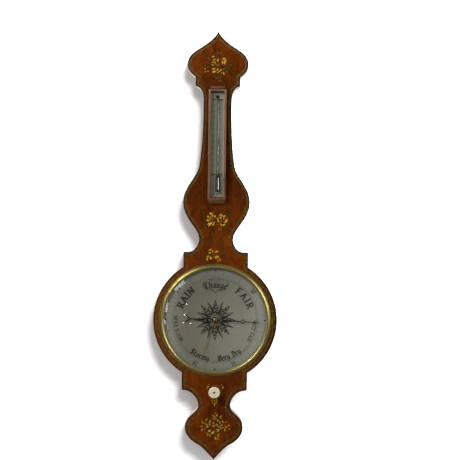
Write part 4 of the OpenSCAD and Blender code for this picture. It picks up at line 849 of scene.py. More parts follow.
NUMBERS = {
    "0": (0.64, [[*arc(0.32, 0.5, 0.22, 0.5, 90, 450, 16)]]),
    "1": (0.44, [[(0.1, 0.82), (0.24, 1), (0.24, 0)], foot(0.24, 0, 0.12)]),
    "2": (0.62, [[*arc(0.3, 0.72, 0.2, 0.28, 160, -40), (0.1, 0), (0.54, 0)]]),
    "3": (0.62, [[*arc(0.28, 0.76, 0.2, 0.24, 150, -80), *arc(0.28, 0.27, 0.23, 0.27, 80, -150)]]),
    "4": (0.64, [[(0.44, 0), (0.44, 1), (0.06, 0.3), (0.6, 0.3)]]),
    "5": (0.62, [[(0.52, 1), (0.18, 1), (0.16, 0.56), *arc(0.28, 0.3, 0.24, 0.3, 110, -150)]]),
    "6": (0.62, [[
        (0.48, 0.94), *arc(0.36, 0.5, 0.26, 0.5, 90, 180, 5), *arc(0.31, 0.28, 0.21, 0.28, 180, 540, 14)]]),
    "7": (0.6, [[(0.08, 0.86), (0.08, 1), (0.54, 1), (0.24, 0)]]),
    "8": (0.62, [[*arc(0.31, 0.76, 0.17, 0.24, 270, 630, 14)], [*arc(0.31, 0.27, 0.22, 0.27, 90, 450, 14)]]),
    "9": (0.62, [[*arc(0.3, 0.72, 0.21, 0.28, 0, 360, 14), *arc(0.24, 0.5, 0.27, 0.5, 0, -80, 5)]]),
}
BLACK_LETTER = {
    "C": (0.72, [
        [(0.62, 0.84), (0.42, 1), (0.14, 0.76), (0.14, 0.24), (0.42, 0), (0.66, 0.16)],
        [(0.38, 0.86), (0.38, 0.14)]]),
    "D": (0.78, [
        [(0.08, 0.88), (0.4, 1), (0.68, 0.72), (0.68, 0.28), (0.4, 0), (0.1, 0.12)],
        [(0.3, 0.9), (0.3, 0.1)]]),
    "S": (0.7, [
        [(0.62, 0.88), (0.42, 1), (0.16, 0.86), (0.16, 0.64), (0.58, 0.42), (0.58, 0.14), (0.34, 0),
         (0.08, 0.14)], [(0.38, 0.86), (0.36, 0.16)]]),
    "V": (0.8, [
        [(0.06, 0.86), (0.2, 1), (0.26, 0.88), (0.26, 0.18), (0.44, 0), (0.7, 0.24), (0.72, 0.74),
         (0.56, 1)], [(0.48, 0.9), (0.48, 0.1)]]),
    "a": (0.56, [
        [(0.14, 0.56), (0.3, 0.64), (0.44, 0.52), (0.44, 0.1), (0.54, 0)],
        [(0.42, 0.36), (0.14, 0.26), (0.14, 0.1), (0.28, 0), (0.42, 0.14)]]),
    "e": (0.52, [
        [(0.3, 0.64), (0.12, 0.48), (0.12, 0.14), (0.3, 0), (0.48, 0.12)],
        [(0.3, 0.64), (0.48, 0.48), (0.16, 0.3)]]),
    "g": (0.54, [
        [(0.44, 0.6), (0.28, 0.64), (0.12, 0.48), (0.12, 0.2), (0.28, 0.06), (0.44, 0.18)],
        [(0.44, 0.62), (0.44, -0.14), (0.28, -0.28), (0.1, -0.2)]]),
    "h": (0.58, [
        [(0.16, 1), (0.16, 0.06), (0.24, 0)],
        [(0.18, 0.5), (0.36, 0.64), (0.46, 0.5), (0.46, 0.1), (0.34, -0.14)]]),
    "m": (0.88, [
        [(0.08, 0.56), (0.16, 0.64), (0.16, 0.06), (0.24, 0)],
        [(0.18, 0.52), (0.34, 0.64), (0.44, 0.52), (0.44, 0.06), (0.52, 0)],
        [(0.46, 0.52), (0.62, 0.64), (0.72, 0.52), (0.72, 0.06), (0.82, 0)]]),
    "n": (0.6, [
        [(0.08, 0.56), (0.16, 0.64), (0.16, 0.06), (0.24, 0)],
        [(0.18, 0.52), (0.34, 0.64), (0.44, 0.52), (0.44, 0.06), (0.54, 0)]]),
    "o": (0.54, [
        [(0.3, 0.64), (0.12, 0.5), (0.12, 0.14), (0.3, 0), (0.46, 0.14), (0.46, 0.5), (0.3, 0.64)]]),
    "r": (0.48, [
        [(0.08, 0.56), (0.16, 0.64), (0.16, 0.06), (0.26, 0)], [(0.18, 0.5), (0.32, 0.64), (0.44, 0.54)]]),
    "t": (0.46, [[(0.2, 0.88), (0.2, 0.1), (0.32, 0), (0.42, 0.1)], [(0.06, 0.62), (0.38, 0.62)]]),
    "y": (0.58, [
        [(0.08, 0.56), (0.16, 0.64), (0.16, 0.16), (0.3, 0.02), (0.46, 0.16)],
        [(0.46, 0.64), (0.46, -0.04), (0.34, -0.26), (0.12, -0.26)]]),
    " ": (0.4, []),
}


def stroke(shape, points, nib, slant, place):
    """Sweeps a broad nib, and then its thin edge, along a line of points."""
    lean = math.radians(slant)
    for half in (
        Vector((math.cos(lean), math.sin(lean), 0)) * nib / 2,
        Vector((-math.sin(lean), math.cos(lean), 0)) * nib / 5,
    ):
        spots = [Vector((*p, 0)) for p in points]
        edge = shape.edges.new([shape.verts.new(place @ (spots[0] + s * half)) for s in (-1, 1)])
        for one, other in zip(spots, spots[1:]):
            grown = bmesh.ops.extrude_edge_only(shape, edges=[edge])["geom"]
            edge = next(g for g in grown if isinstance(g, bmesh.types.BMEdge))
            shift = place.to_3x3() @ (other - one)
            bmesh.ops.translate(shape, verts=list(edge.verts), vec=shift)


def write(shape, text, alphabet, height, radius, middle, nib, slant, inward=False, spread=1.0):
    """Writes a word round the dial. Its middle is an angle clockwise from the top."""
    size = Matrix.Scale(height, 4)
    wide = sum(alphabet[c][0] for c in text) * height * spread
    pace = math.degrees(1 / radius)
    done = -wide / 2
    for letter in text:
        advance, strokes = alphabet[letter]
        centre = done + advance * height * spread / 2
        angle = middle + (-centre if inward else centre) * pace
        place = Matrix.Rotation(-math.radians(angle), 4, "Z") @ Matrix.Translation((0, radius, 0))
        if inward:
            place = place @ Matrix.Rotation(math.pi, 4, "Z")
        place = place @ Matrix.Translation((-advance * height / 2, 0, 0)) @ size
        for points in strokes:
            stroke(shape, points, nib, slant, place)
        done += advance * height * spread


def tick(shape, angle, start, end, width):
    """A radial mark on the dial."""
    place = (
        Matrix.Rotation(-math.radians(angle), 4, "Z")
        @ Matrix.Translation((0, (start + end) / 2, 0))
        @ Matrix.Diagonal((width, end - start, 1, 1))
    )
    bmesh.ops.create_grid(shape, x_segments=1, y_segments=1, size=0.5, matrix=place)


def waxed(spot):
    """Black wax, worn a little grey, with painted light greying it further towards the right."""
    worn = spot.noise(700, 3, 0.7)
    # Painted light: the wax turns greyer towards the right, as the dial is painted lighter there.
    thin = (spot.axis("X") - dial_centre.x).step(0.05, 0.09) * 0.5
    return {
        "Base Color": thin.mix(worn.ramp((0.35, rgb(32, 32, 27)), (0.75, rgb(60, 58, 49))), rgb(84, 84, 74)),
        "Roughness": 0.55 + 0.2 * worn, "Specular IOR Level": 0.3,
    }


def worn_wax(spot):
    """The same wax, thin and grey in the finest lines."""
    worn = spot.noise(90, 3, 0.7)
    return {
        "Base Color": worn.ramp((0.3, rgb(62, 62, 54)), (0.7, rgb(92, 90, 78))),
        "Roughness": 0.6 + 0.2 * worn, "Specular IOR Level": 0.3,
    }


wax = finish("black_wax", waxed)
faint_wax = finish("worn_wax", worn_wax)
inch_turn = 104
top_inches = 29.5
shape = bmesh.new()
for radius, width in [(103.0, 0.8), (106.0, 0.7), (109.4, 0.25), (125.4, 0.4)]:
    hoop(shape, radius, width)
for hundredth in range(2800, 3101):
    angle = (hundredth / 100 - top_inches) * inch_turn
    if hundredth % 10 == 0:
        tick(shape, angle, 106.4, 114.5, 0.45)
    elif hundredth % 5 == 0:
        tick(shape, angle, 106.4, 112.3, 0.35)
    elif hundredth % 2 == 0:
        tick(shape, angle, 106.4, 109.4, 0.2)
for inches in range(28, 32):
    angle = (inches - top_inches) * inch_turn
    write(shape, str(inches), NUMBERS, 11, 113.5, angle, 0.22, 12)
    for tenth in range(1, 10):
        if inches < 31:
            write(shape, str(tenth), NUMBERS, 3.6, 116.2, angle + tenth * inch_turn / 10, 0.17, 12)
lay("dial_scale", shape, dial_y, "case", "silvered_brass", faint_wax, thick=0.12, proud=0.03)

shape = bmesh.new()
write(shape, "RAIN", CAPITALS, 16, 86, -53.5, 0.27, 8, spread=1.1)
write(shape, "FAIR", CAPITALS, 16, 86, 53, 0.27, 8, spread=1.2)
write(shape, "MUCH RAIN", CAPITALS, 8.6, 93.8, -103.7, 0.2, 8, spread=1.0)
write(shape, "SET FAIR", CAPITALS, 8.6, 93.8, 108.1, 0.2, 8, spread=0.96)
write(shape, "Stormy", BLACK_LETTER, 14.5, 103.6, 203, 0.23, 42, inward=True, spread=1.02)
write(shape, "Very Dry", BLACK_LETTER, 14.5, 103.6, 158, 0.23, 42, inward=True, spread=0.98)
write(shape, "Change", BLACK_LETTER, 16, 81, 0, 0.24, 42, spread=0.98)
for side in (-1, 1):
    place = Matrix.Translation((0, 87, 0)) @ Matrix.Diagonal((side, 1, 1, 1))
    for points in [
        arc(24.5, 0, 8.5, 10.5, -62, 62), arc(22.5, 0, 8.5, 8.4, -50, 50),
        arc(17, -10.8, 9, 3.2, 185, 320), arc(12, -12.5, 6, 3.6, 20, 200), arc(5.5, -14.5, 3.4, 2.6, 0, 240),
        arc(4, -16.5, 5, 2.4, 180, 330), arc(8, -9.5, 4, 2, 150, 350), arc(13, 11.5, 8, 2.6, 40, 170),
        arc(7, 12.6, 4.5, 3.0, -30, 200), arc(3, 15.4, 2.8, 2.2, -80, 150), arc(22, -8.5, 4, 2.6, 200, 380),
        arc(6, 9.5, 5, 2.2, 160, 350),
    ]:
        stroke(shape, points, 1.15, 42, place)
lay("dial_lettering", shape, dial_y, "case", "silvered_brass", wax, thick=0.12, proud=0.03)


# The star in the middle of the dial, engraved and waxed like the lettering: eight plain
# rays with one dark side, eight leafy rays between them, and a wreath of small leaves.
shape = bmesh.new()
ray_r = 50.5
for i in range(8):
    turn = Matrix.Rotation(-math.radians(22.5 + 45 * i), 4, "Z")
    tip, hip, root = Vector((0, ray_r, 0)), 6.6, 24
    dark = [shape.verts.new(turn @ v) for v in (tip, Vector((0.2, root - 8, 0)), Vector((hip, root, 0)))]
    shape.faces.new(dark)
    stroke(shape, [(0, ray_r), (-hip, root), (0, root - 8)], 1.3, 10, turn)
    for k in range(8):
        rise = root + 1 + 2.6 * k
        reach = hip * (ray_r - rise) / (ray_r - root)
        stroke(shape, [(-reach, rise), (-0.2, rise + 1.6)], 0.9, 80, turn)
    leafy = Matrix.Rotation(-math.radians(45 * i), 4, "Z")
    angle = 45 * i
    way = Vector((math.sin(math.radians(angle)), math.cos(math.radians(angle))))
    side_way = Vector((way.y, -way.x))
    stroke(shape, [(0, 22), (0, ray_r)], 1.1, 0, leafy)
    outline = [(0, ray_r), (3.2, 41), (4.2, 34), (0, 29), (-4.2, 34), (-3.2, 41), (0, ray_r)]
    stroke(shape, outline, 1.6, 20, leafy)
    for side in (-1, 1):
        blade(shape, way * 33, angle + side * 16, 12, 2.6, leaf_swell, bend=0.25 * side)
        blade(shape, way * 27, angle + side * 42, 10, 3.6, leaf_swell, bend=0.4 * side)
        blade(shape, way * 23 + side_way * side * 1.5, angle + side * 70, 7, 2.8, leaf_swell, bend=0.4 * side)
for i in range(16):
    angle = 22.5 * i + 11.25
    way = Vector((math.sin(math.radians(angle)), math.cos(math.radians(angle))))
    for side in (-1, 1):
        blade(shape, way * 17, angle + side * 32, 8.5, 3.4, leaf_swell, bend=0.35 * side)
    blade(shape, way * 13.4, angle, 8, 3.2, leaf_swell)
    dot(shape, way * 25.5, 1.2, 8)
hoop(shape, 12.8, 1.4, 64)
hoop(shape, 10.4, 1.4, 64)
lay("dial_star", shape, dial_y, "case", "silvered_brass", wax, thick=0.12, proud=0.04)


# The hands: the indicator is sawn from steel sheet, filed, and blued; the set hand is
# thin brass and lies under it. Both have their edges eased with a fine file.
def eased(node, width, flat_angle=1.0, corner=30.0):
    """A CAD node's shape again, with its sharp edges rounded off."""
    shape = bmesh.new()
    shape.from_mesh(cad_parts[node].data)
    bmesh.ops.remove_doubles(shape, verts=shape.verts, dist=1e-6)
    bmesh.ops.dissolve_limit(
        shape, angle_limit=math.radians(flat_angle), verts=shape.verts, edges=shape.edges
    )
    sharp = [
        e for e in shape.edges if e.is_manifold and e.calc_face_angle() > math.radians(corner)
    ]
    bmesh.ops.bevel(
        shape, geom=sharp, offset=width, segments=2, profile=0.5, affect="EDGES",
        clamp_overlap=True, material=-1,
    )
    return shape


hand = piece("steel_hand", eased("indicator_hand", 0.18 * mm), "hand", "blued_steel", blued, 40)
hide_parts("indicator_hand")


def brass(bright, dull, rough=0.2, age=0.5):
    """Lacquered brass, with a soft brown bloom where it has aged."""

    def paint(spot):
        bloom = spot.noise(22, 3, 0.5, 0.5)
        specks = spot.noise(380, 3, 0.7)
        aged = (bloom * 0.75 + specks * 0.25).step(0.4, 0.7) * age
        return {
            "Base Color": aged.mix(bright, dull),
            "Metallic": 1.0,
            "Roughness": rough + 0.2 * aged + 0.05 * specks,
        }

    return paint


bright_brass = finish("bright_brass", brass(rgb(232, 198, 104), rgb(184, 150, 66), 0.3))
set_hand = piece("brass_set_hand", eased("set_hand", 0.15 * mm), "set_hand", "brass", bright_brass, 40)
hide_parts("set_hand")
cap_brass = finish("cap_brass", brass(rgb(166, 148, 88), rgb(118, 102, 56), 0.35))
dress(cap_brass, "hand_cap")


# The bezel: spun and turned from brass, with a flat flange, a fine milled ring, and a
# bright half-round bead. The convex glass is held in it from behind by a brass ring.
def turned(profile, centre, steps, closed=True):
    """Spins a section, drawn as radius and depth in millimetres, round an axis along Y."""
    shape = bmesh.new()
    verts = [
        shape.verts.new((centre.x + r * mm, -depth * mm, centre.z)) for r, depth in profile
    ]
    pairs = zip(verts, verts[1:] + verts[:1]) if closed else zip(verts, verts[1:])
    edges = [shape.edges.new(pair) for pair in pairs]
    bmesh.ops.spin(
        shape, geom=verts + edges, cent=centre, axis=(0, 1, 0), angle=math.tau, steps=steps,
        use_merge=True,
    )
    bmesh.ops.remove_doubles(shape, verts=shape.verts, dist=1e-6)
    bmesh.ops.recalc_face_normals(shape, faces=shape.faces)
    return shape


bezel_low, bezel_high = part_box("bezel")
bezel_r = (bezel_high.z - bezel_low.z) / 2 / mm
bead_r = 2.5
bead_at = 132.75
sight_r = 128.25
flange = 46.0
mill_count = 240
bezel_section = [
    (131.3, 42.7), (132.5, 42.7), (132.7, 44.25), (bezel_r - 0.3, 44.25), (bezel_r, 44.5),
    (bezel_r, flange - 0.45), (bezel_r - 0.35, flange - 0.05), (bezel_r - 0.8, flange),
    (bezel_r - 1.3, flange), (bezel_r - 1.5, flange - 0.35), (bezel_r - 1.75, flange - 0.35),
    (bezel_r - 1.95, flange), (bezel_r - 2.3, flange + 0.1), (bezel_r - 3.1, flange + 0.1),
    (bezel_r - 3.35, flange - 0.3), (bezel_r - 3.6, flange - 0.3), (bezel_r - 3.8, flange + 0.15),
    (bezel_r - 4.2, flange + 0.3), (bezel_r - 4.6, flange + 0.15), (bezel_r - 4.8, flange - 0.2),
    *arc(bead_at, 47.2, bead_r, bead_r, -22, 180, 18),
    (129.4, 47.0), (sight_r + 0.35, 46.8), (sight_r, 46.4), (sight_r, 45.9), (sight_r + 0.6, 45.75),
    (131.1, 45.75), (131.3, 45.5),
]
shape = turned(bezel_section, dial_centre, 2 * mill_count)
for vert in shape.verts:
    x, z = vert.co.x - dial_centre.x, vert.co.z - dial_centre.z
    radius = math.hypot(x, z) / mm
    if bezel_r - 3.2 < radius < bezel_r - 2.2 and -vert.co.y / mm > flange:
        notch = round(math.atan2(z, x) / math.tau * 2 * mill_count) % 2
        vert.co.y += 0.22 * mm * notch


def bezel_paint(spot):
    """Brass kept brightest on the bead, and a little duller on the flange and the inner lip."""
    made = brass(rgb(226, 212, 136), rgb(190, 172, 100), 0.28, age=0.35)(spot)
    x, z = spot.axis("X") - dial_centre.x, spot.axis("Z") - dial_centre.z
    radius = (x * x + z * z).maths("SQRT")
    kept = radius.step(0.1284, 0.1296) * (1 - radius.step(0.1364, 0.138))
    made["Base Color"] = kept.mix(rgb(190, 174, 108), made["Base Color"])
    return made


bezel_brass = finish("bezel_brass", bezel_paint)
bezel = piece("turned_bezel", shape, "bezel", "brass", bezel_brass, 32)
on_mirrors.objects.link(bezel)
on_bezel.objects.link(bezel)
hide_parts("bezel")
dull_brass = finish("dull_brass", brass(rgb(176, 150, 84), rgb(110, 88, 42), 0.3))
dress(dull_brass, "glass_ring", "bezel_hinge_case_leaf", "bezel_hinge_bezel_leaf")


def clear(name, edge_dark=0.0):
    """Clear glass: it lets light straight through and mirrors a little; on a tube, a painted dark shade at
    its grazing edges stands in for the glass's dark refraction.
    """
    material = bpy.data.materials.new(name)
    material.use_nodes = True
    tree = material.node_tree
    tree.nodes.remove(tree.nodes["Principled BSDF"])
    pane = Wire(tree)
    leaving = pane.node("NewGeometry", {}, {}, out="Backfacing")
    shine = pane.node("Fresnel", {}, {"IOR": 1.5}) * (1 - leaving)
    open_glass = pane.node("BsdfTransparent", {}, {"Color": (0.985, 0.992, 0.99, 1)})
    if edge_dark:
        # Painted shade: a dark matt edge where the tube is seen aslant, in place of refraction.
        aslant = pane.node("LayerWeight", {}, {"Blend": 0.5}, out="Facing").step(0.05, 0.5) * edge_dark
        shade = pane.node("BsdfDiffuse", {}, {"Color": rgb(34, 34, 33)})
        open_glass = pane.node("MixShader", {}, {0: aslant, 1: open_glass, 2: shade})
    gloss = pane.node("BsdfGlossy", {}, {"Roughness": 0.04, "Color": (1, 1, 1, 1)})
    mixed = pane.node("MixShader", {}, {0: shine, 1: open_glass, 2: gloss})
    tree.links.new(mixed.socket, tree.nodes["Material Output"].inputs["Surface"])
    return material


glass_low, glass_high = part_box("dial_glass")
glass_r = (glass_high.z - glass_low.z) / 2 / mm
crown = -glass_low.y / mm
glass_t = 2.0
glass_rise = 12.0
ball_r = (glass_r**2 + glass_rise**2) / 2 / glass_rise


def dome(drop, steps=40):
    """The arc of the glass from its middle to its rim, a drop below the outer face."""
    radii = [glass_r * i / steps for i in range(steps + 1)]
    return [(r, crown - ball_r + math.sqrt((ball_r - drop) ** 2 - r * r)) for r in radii]


dial_pane = clear("dial_glass")
shape = turned(dome(0) + dome(glass_t)[::-1], dial_centre, 384, closed=False)
glass = piece("convex_glass", shape, "bezel", "glass", dial_pane, 30)
on_mirrors.objects.link(glass)
on_bezel.objects.link(glass)
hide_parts("dial_glass")


# The knob of the set hand: turned from bone, with cut rings and a dished middle round
# the end of its brass arbor. Fine dark pores run through the bone.
def boned(spot):
    """Polished bone: cream, darker in its cut ring and dished middle, with painted shade round its rim, and
    thin dark pores.
    """
    pores = spot.stretched(1, 0.12, 1).noise(2600, 2, 0.6).step(0.66, 0.74)
    cloud = spot.noise(120, 3, 0.6)
    x, z = spot.axis("X") - dial_centre.x, spot.axis("Z") - (dial_centre.z + knob_h * mm)
    radius = (x * x + z * z).maths("SQRT")
    ringed = 1 - (radius - 0.0083).maths("ABSOLUTE").step(0.0004, 0.0014)
    colour = cloud.ramp((0.35, rgb(246, 232, 190)), (0.65, rgb(255, 250, 220)))
    colour = (ringed * 0.45).mix(colour, rgb(150, 122, 70))
    colour = ((1 - radius.step(0.0034, 0.0046)) * 0.5).mix(colour, rgb(140, 118, 70))
    # Painted shade: darker round the knob's outer rim.
    colour = (radius.step(0.0128, 0.0143) * 0.4).mix(colour, rgb(140, 112, 62))
    colour = (pores * 0.6).mix(colour, rgb(120, 92, 50))
    return {
        "Base Color": colour,
        "Roughness": 0.3 + 0.1 * cloud,
        "Coat Weight": 0.25,
        "Normal": (cloud - pores).bump(0.00003),
    }


knob_low, knob_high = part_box("set_knob")
knob_r = (knob_high.z - knob_low.z) / 2 / mm
knob_centre = Vector((0, 0, (knob_low.z + knob_high.z) / 2))
knob_back = -knob_high.y / mm
knob_section = [
    (2.6, 0), (8.8, 0), (9.3, 0.5), (9.4, 0.9), (9.0, 1.5), (7.8, 2.0), (7.2, 2.8), (7.0, 4.0),
    (7.5, 5.0), (9, 5.9), (12.3, 7.1), (13.6, 8.0), (knob_r - 0.15, 9.0), (knob_r, 9.9),
    (knob_r - 0.12, 10.8), (knob_r - 0.6, 11.7), (knob_r - 1.5, 12.4), (knob_r - 2.7, 12.85),
    (knob_r - 3.3, 12.5), (knob_r - 3.7, 12.5), (knob_r - 4.1, 12.85), (9.6, 12.7), (8.9, 12.2),
    (8.5, 11.8), (8.1, 12.2), (7.6, 13.0), (6.6, 13.4), (5.4, 13.3), (4.4, 12.8), (3.4, 12.5), (2.6, 12.4),
]
bone = finish("bone", boned)
shape = turned([(r, knob_back + d) for r, d in knob_section], knob_centre, 96)
knob = piece("bone_knob", shape, "knob", "bone", bone, 40)
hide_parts("set_knob")
dark_brass = finish("dark_brass", brass(rgb(92, 78, 44), rgb(48, 40, 24), 0.35))
dress(dark_brass, "knob_arbor", "knob_bush")


# The thermometer's box: a mitred mahogany frame with a moulded front edge, a cornice on
# top and an ogee block below. Its wood is greyer than the case, and pale in patches at the front edges,
# partly wear and partly painted highlight.
box_low, box_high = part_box("thermometer_box")
frame_section = [
    (0, 44), (0, 58.7), (0.35, 59.4), (1.0, 59.9), (1.6, 60), (2.4, 59.9), (2.7, 59.5), (3.3, 59.35),
    (3.8, 59.5), (4.3, 59.3), (4.8, 58.8), (5.0, 58.4), (5.0, 58.32), (3.5, 58.32), (3.5, 44),
]
shape = bmesh.new()
hoops = []
for x, z, out_x, out_z in [
    (box_low.x, box_low.z, 1, 1), (box_high.x, box_low.z, -1, 1),
    (box_high.x, box_high.z, -1, -1), (box_low.x, box_high.z, 1, -1),
]:
    verts = [
        shape.verts.new((x + inset * mm * out_x, -depth * mm, z + inset * mm * out_z))
        for inset, depth in frame_section
    ]
    hoops.append([shape.edges.new(pair) for pair in zip(verts, verts[1:] + verts[:1])])
for one, other in zip(hoops, hoops[1:] + hoops[:1]):
    bmesh.ops.bridge_loops(shape, edges=one + other)
bmesh.ops.recalc_face_normals(shape, faces=shape.faces)


def box_paint(spot):
    """Brown mahogany, pale in patches along the front edges: partly wear, partly painted highlight."""
    made = wood(rgb(82, 50, 32), rgb(118, 78, 54), rgb(144, 102, 74), coat=0.25, gloss=0.35)(spot)
    # Partly wear and partly painted highlight: pale patches on the frontmost faces of the moulding.
    edge = (0 - spot.axis("Y")).step(0.0588, 0.0599) * spot.noise(60, 3).step(0.3, 0.6)
    made["Base Color"] = (edge * 0.3).mix(made["Base Color"], rgb(132, 104, 80))
    return made


box_wood = finish("box_wood", box_paint)
box = piece("thermometer_frame", shape, "case", "box_wood", box_wood, 30)
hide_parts("thermometer_box")


def stacked(shape, levels):
    """Joins level rectangles, each as height, half width and depth, into a moulding."""
    rims = []
    for height, half_w, depth in levels:
        z = dial_centre.z + height * mm
        corners = [(-half_w, 44), (-half_w, depth), (half_w, depth), (half_w, 44)]
        verts = [shape.verts.new((x * mm, -d * mm, z)) for x, d in corners]
        rims.append([shape.edges.new(pair) for pair in zip(verts, verts[1:] + verts[:1])])
    for one, other in zip(rims, rims[1:]):
        bmesh.ops.bridge_loops(shape, edges=one + other)
    for rim in (rims[0], rims[-1]):
        bmesh.ops.edgenet_fill(shape, edges=rim)
    bmesh.ops.recalc_face_normals(shape, faces=shape.faces)


cornice = [
    (575.5, 16.8, 52.6), (576.4, 16.9, 52.8), (577.0, 17.3, 53.4), (577.6, 17.8, 54.2), (578.0, 18.2, 55.0),
    (578.2, 18.5, 55.6), (582.6, 18.5, 55.6), (583.3, 18.3, 55.3), (583.75, 17.9, 54.8),
]
ogee = [
    (291.75, 17.4, 52.6), (292.4, 17.8, 53.2), (293.4, 17.9, 53.4), (294.2, 18.2, 54.0), (295.2, 18.9, 55.4),
    (296.4, 19.9, 57.0), (297.6, 20.7, 58.2), (298.6, 21.1, 58.9), (299.4, 21.2, 59.2), (299.6, 21.8, 59.7),
    (300.75, 22.0, 60.0),
]
shape = bmesh.new()
stacked(shape, cornice)
stacked(shape, ogee)
cap_wood = finish(
    "moulding_wood",
    wood(rgb(78, 48, 26), rgb(104, 72, 42), rgb(130, 94, 56), coat=0.2, gloss=0.3, upright=False),
)
mouldings = piece("box_mouldings", shape, "case", "case_wood", cap_wood, 30)
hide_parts("thermometer_mouldings")
dress(clear("box_glass"), "thermometer_glass")


# The thermometer: a silvered plate with an engraved scale, a glass tube whose bulb is a
# long cylinder, its mercury, two brass clips, and blued screws.
plate_low, plate_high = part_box("thermometer_plate")


def plated(spot):
    """Silvered brass, brighter at the right, where the box shades it least, and dull below."""
    bloom = spot.noise(60, 4, 0.6)
    colour = spot.axis("X").step(-0.01, 0.01).mix(rgb(146, 144, 124), rgb(172, 170, 148))
    low = 1 - (spot.axis("Z") - plate_low.z).step(0.0, 0.08)
    colour = (low * 0.3 + bloom.step(0.5, 0.7) * 0.2).mix(colour, rgb(124, 120, 98))
    return {"Base Color": colour, "Metallic": 0.2, "Roughness": 0.42 + 0.1 * bloom}


plate_silver = finish("silvered_plate", plated)
dress(plate_silver, "thermometer_plate")
dress(clear("tube_glass", edge_dark=0.9), "thermometer_tube")
on_mirrors.objects.link(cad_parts["thermometer_tube"])


def washered(spot):
    """Blued screws, and the pale washer round the upper one."""
    x, height = spot.axis("X"), spot.axis("Z") - (dial_centre.z + 557.8 * mm)
    ring = (x * x + height * height).maths("SQRT")
    pale = ring.step(0.0015, 0.0017) * (1 - ring.step(0.0046, 0.0048))
    return {"Base Color": pale.mix(rgb(20, 20, 22), rgb(236, 232, 206)), "Metallic": 0.1, "Roughness": 0.4}


dress(finish("screws_and_washer", washered), "thermometer_screws")


def quick_silver(spot):
    """Mercury: a clean mirror, with the faintest skin."""
    skin = spot.noise(180, 2)
    colour = skin.ramp((0.3, rgb(206, 206, 212)), (0.7, rgb(232, 232, 236)))
    return {"Base Color": colour, "Metallic": 1.0, "Roughness": 0.06}


mercury = finish("mercury", quick_silver)
clip_brass = finish("clip_brass", brass(rgb(126, 108, 46), rgb(88, 74, 28), 0.4))
dress(mercury, "thermometer_mercury")
clips = piece("brass_clips", eased("thermometer_clips", 0.12 * mm), "case", "brass", clip_brass, 40)
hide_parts("thermometer_clips")

scale_foot_h = 371.0
degree_h = 1.5
shape = bmesh.new()
for degree in range(0, 117):
    height = scale_foot_h + degree * degree_h
    if degree % 2 == 0:
        long = 4.6 if degree % 10 == 0 else 2.2
        place = Matrix.Translation((-2.4 - long / 2, height, 0)) @ Matrix.Diagonal((long, 0.3, 1, 1))
        bmesh.ops.create_grid(shape, x_segments=1, y_segments=1, size=0.5, matrix=place)
    if degree % 10 == 0:
        digits = str(degree)
        place = Matrix.Translation((-8.2 - 2.2 * len(digits), height - 1.9, 0)) @ Matrix.Scale(3.8, 4)
        for digit in digits:
            for points in NUMBERS[digit][1]:
                stroke(shape, points, 0.15, 12, place)
            place = place @ Matrix.Translation((NUMBERS[digit][0], 0, 0))
for x in (-2.2, 10.4):
    place = Matrix.Translation((x, scale_foot_h + 87, 0)) @ Matrix.Diagonal((0.3, 178, 1, 1))
    bmesh.ops.create_grid(shape, x_segments=1, y_segments=1, size=0.5, matrix=place)
lay("thermometer_scale", shape, plate_low.y, "case", "silvered_brass", faint_wax, thick=0.12, proud=0.03)


# The back: plain boards for the door and the two covers, oiled and never polished, with
# brass hinges, a turn button, and the brass hanging plate with iron screws.
plain_wood = finish(
    "plain_boards", wood(rgb(84, 54, 30), rgb(136, 98, 60), rgb(172, 132, 88), coat=0.0)
)
dress(plain_wood, "back_door", "neck_cover", "lower_cover")
iron = finish("iron_screws", steel(rgb(74, 72, 70), rgb(40, 37, 35), 0.4))
dress(iron, "lower_cover_screws", "hanging_plate_screws", "door_hinge_case_screws", "door_hinge_door_screws")
dress(iron, "door_button_screw")
plate = piece("brass_hanging_plate", eased("hanging_plate", 0.25 * mm), "case", "brass", dull_brass, 40)
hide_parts("hanging_plate")
button = piece("turn_button", eased("door_button", 0.25 * mm), "door_button", "brass", dull_brass, 40)
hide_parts("door_button")
dress(dull_brass, "neck_cover_pins", "door_hinge_case_leaf", "door_hinge_door_leaf")


# The movement behind the dial: brass plates and wheels, steel arbor and screws.
movement_brass = finish("movement_brass", brass(rgb(206, 176, 98), rgb(140, 112, 54), 0.24))
dress(movement_brass, "movement_plate", "arbor_bush", "movement_pillars", "rear_bridge", "thread_pulley")
dress(movement_brass, "set_hand_pipe", "set_hand_pulley", "knob_pulley", "counterweight")
polished = finish("polished_steel", steel(rgb(196, 196, 200), rgb(150, 150, 156), 0.16))
dress(polished, "bridge_screws", "hand_arbor", "float")
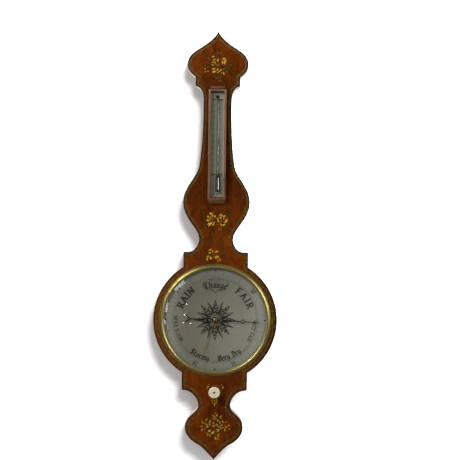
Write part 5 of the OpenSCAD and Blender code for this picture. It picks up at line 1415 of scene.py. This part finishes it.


# The siphon tube of clear glass with its mercury, held in cork. Each end of the mercury
# and each silk thread is a copy of its node, cut across into even bands between its ends.
dress(clear("siphon_glass"), "siphon_tube", "counterweight_guide")
dress(mercury, "mercury_column")


def corked(spot):
    """Cork: pale brown, with dark flecks."""
    flecks = spot.noise(620, 4, 0.7).step(0.55, 0.68)
    colour = spot.noise(160, 3).ramp((0.3, rgb(150, 108, 66)), (0.7, rgb(188, 146, 98)))
    colour = flecks.mix(colour, rgb(84, 54, 30))
    return {"Base Color": colour, "Roughness": 0.85, "Normal": (0 - flecks).bump(0.0002)}


dress(finish("cork", corked), "tube_spacers", "tube_pads")


def silky(spot):
    """Black silk, twisted."""
    twist = ((spot.axis("Z") + spot.axis("X") * 1.4) * 9000).maths("SINE") * 0.5 + 0.5
    colour = twist.mix(rgb(22, 22, 20), rgb(70, 68, 60))
    return {"Base Color": colour, "Roughness": 0.6, "Normal": twist.bump(0.00008)}


silk = finish("silk_thread", silky)


def stretching(name, node, body, slot, material, fixed_z, moving_z):
    """A copy of a stretching node, cut across often enough to stretch evenly."""
    shape = bmesh.new()
    shape.from_mesh(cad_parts[node].data)
    bmesh.ops.remove_doubles(shape, verts=shape.verts, dist=1e-6)
    for i in range(1, 12):
        height = fixed_z + (moving_z - fixed_z) * i / 12
        bmesh.ops.bisect_plane(
            shape, geom=shape.verts[:] + shape.edges[:] + shape.faces[:], dist=1e-7,
            plane_co=(0, 0, height), plane_no=(0, 0, 1),
        )
    low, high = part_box(node)
    made = piece(name, shape, None, slot, material, 40)
    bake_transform(made)
    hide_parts(node)


for name, node, body, slot, material, rises in [
    ("mercury_upper_end", "mercury_top", "counterweight", "mercury", mercury, True),
    ("mercury_lower_end", "mercury_float_end", "float", "mercury", mercury, True),
    ("silk_float_thread", "float_thread", "float", "silk", silk, False),
    ("silk_weight_thread", "counterweight_thread", "counterweight", "silk", silk, False),
]:
    low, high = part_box(node)
    fixed_z, moving_z = (low.z, high.z) if rises else (high.z, low.z)
    stretching(name, node, body, slot, material, fixed_z, moving_z)
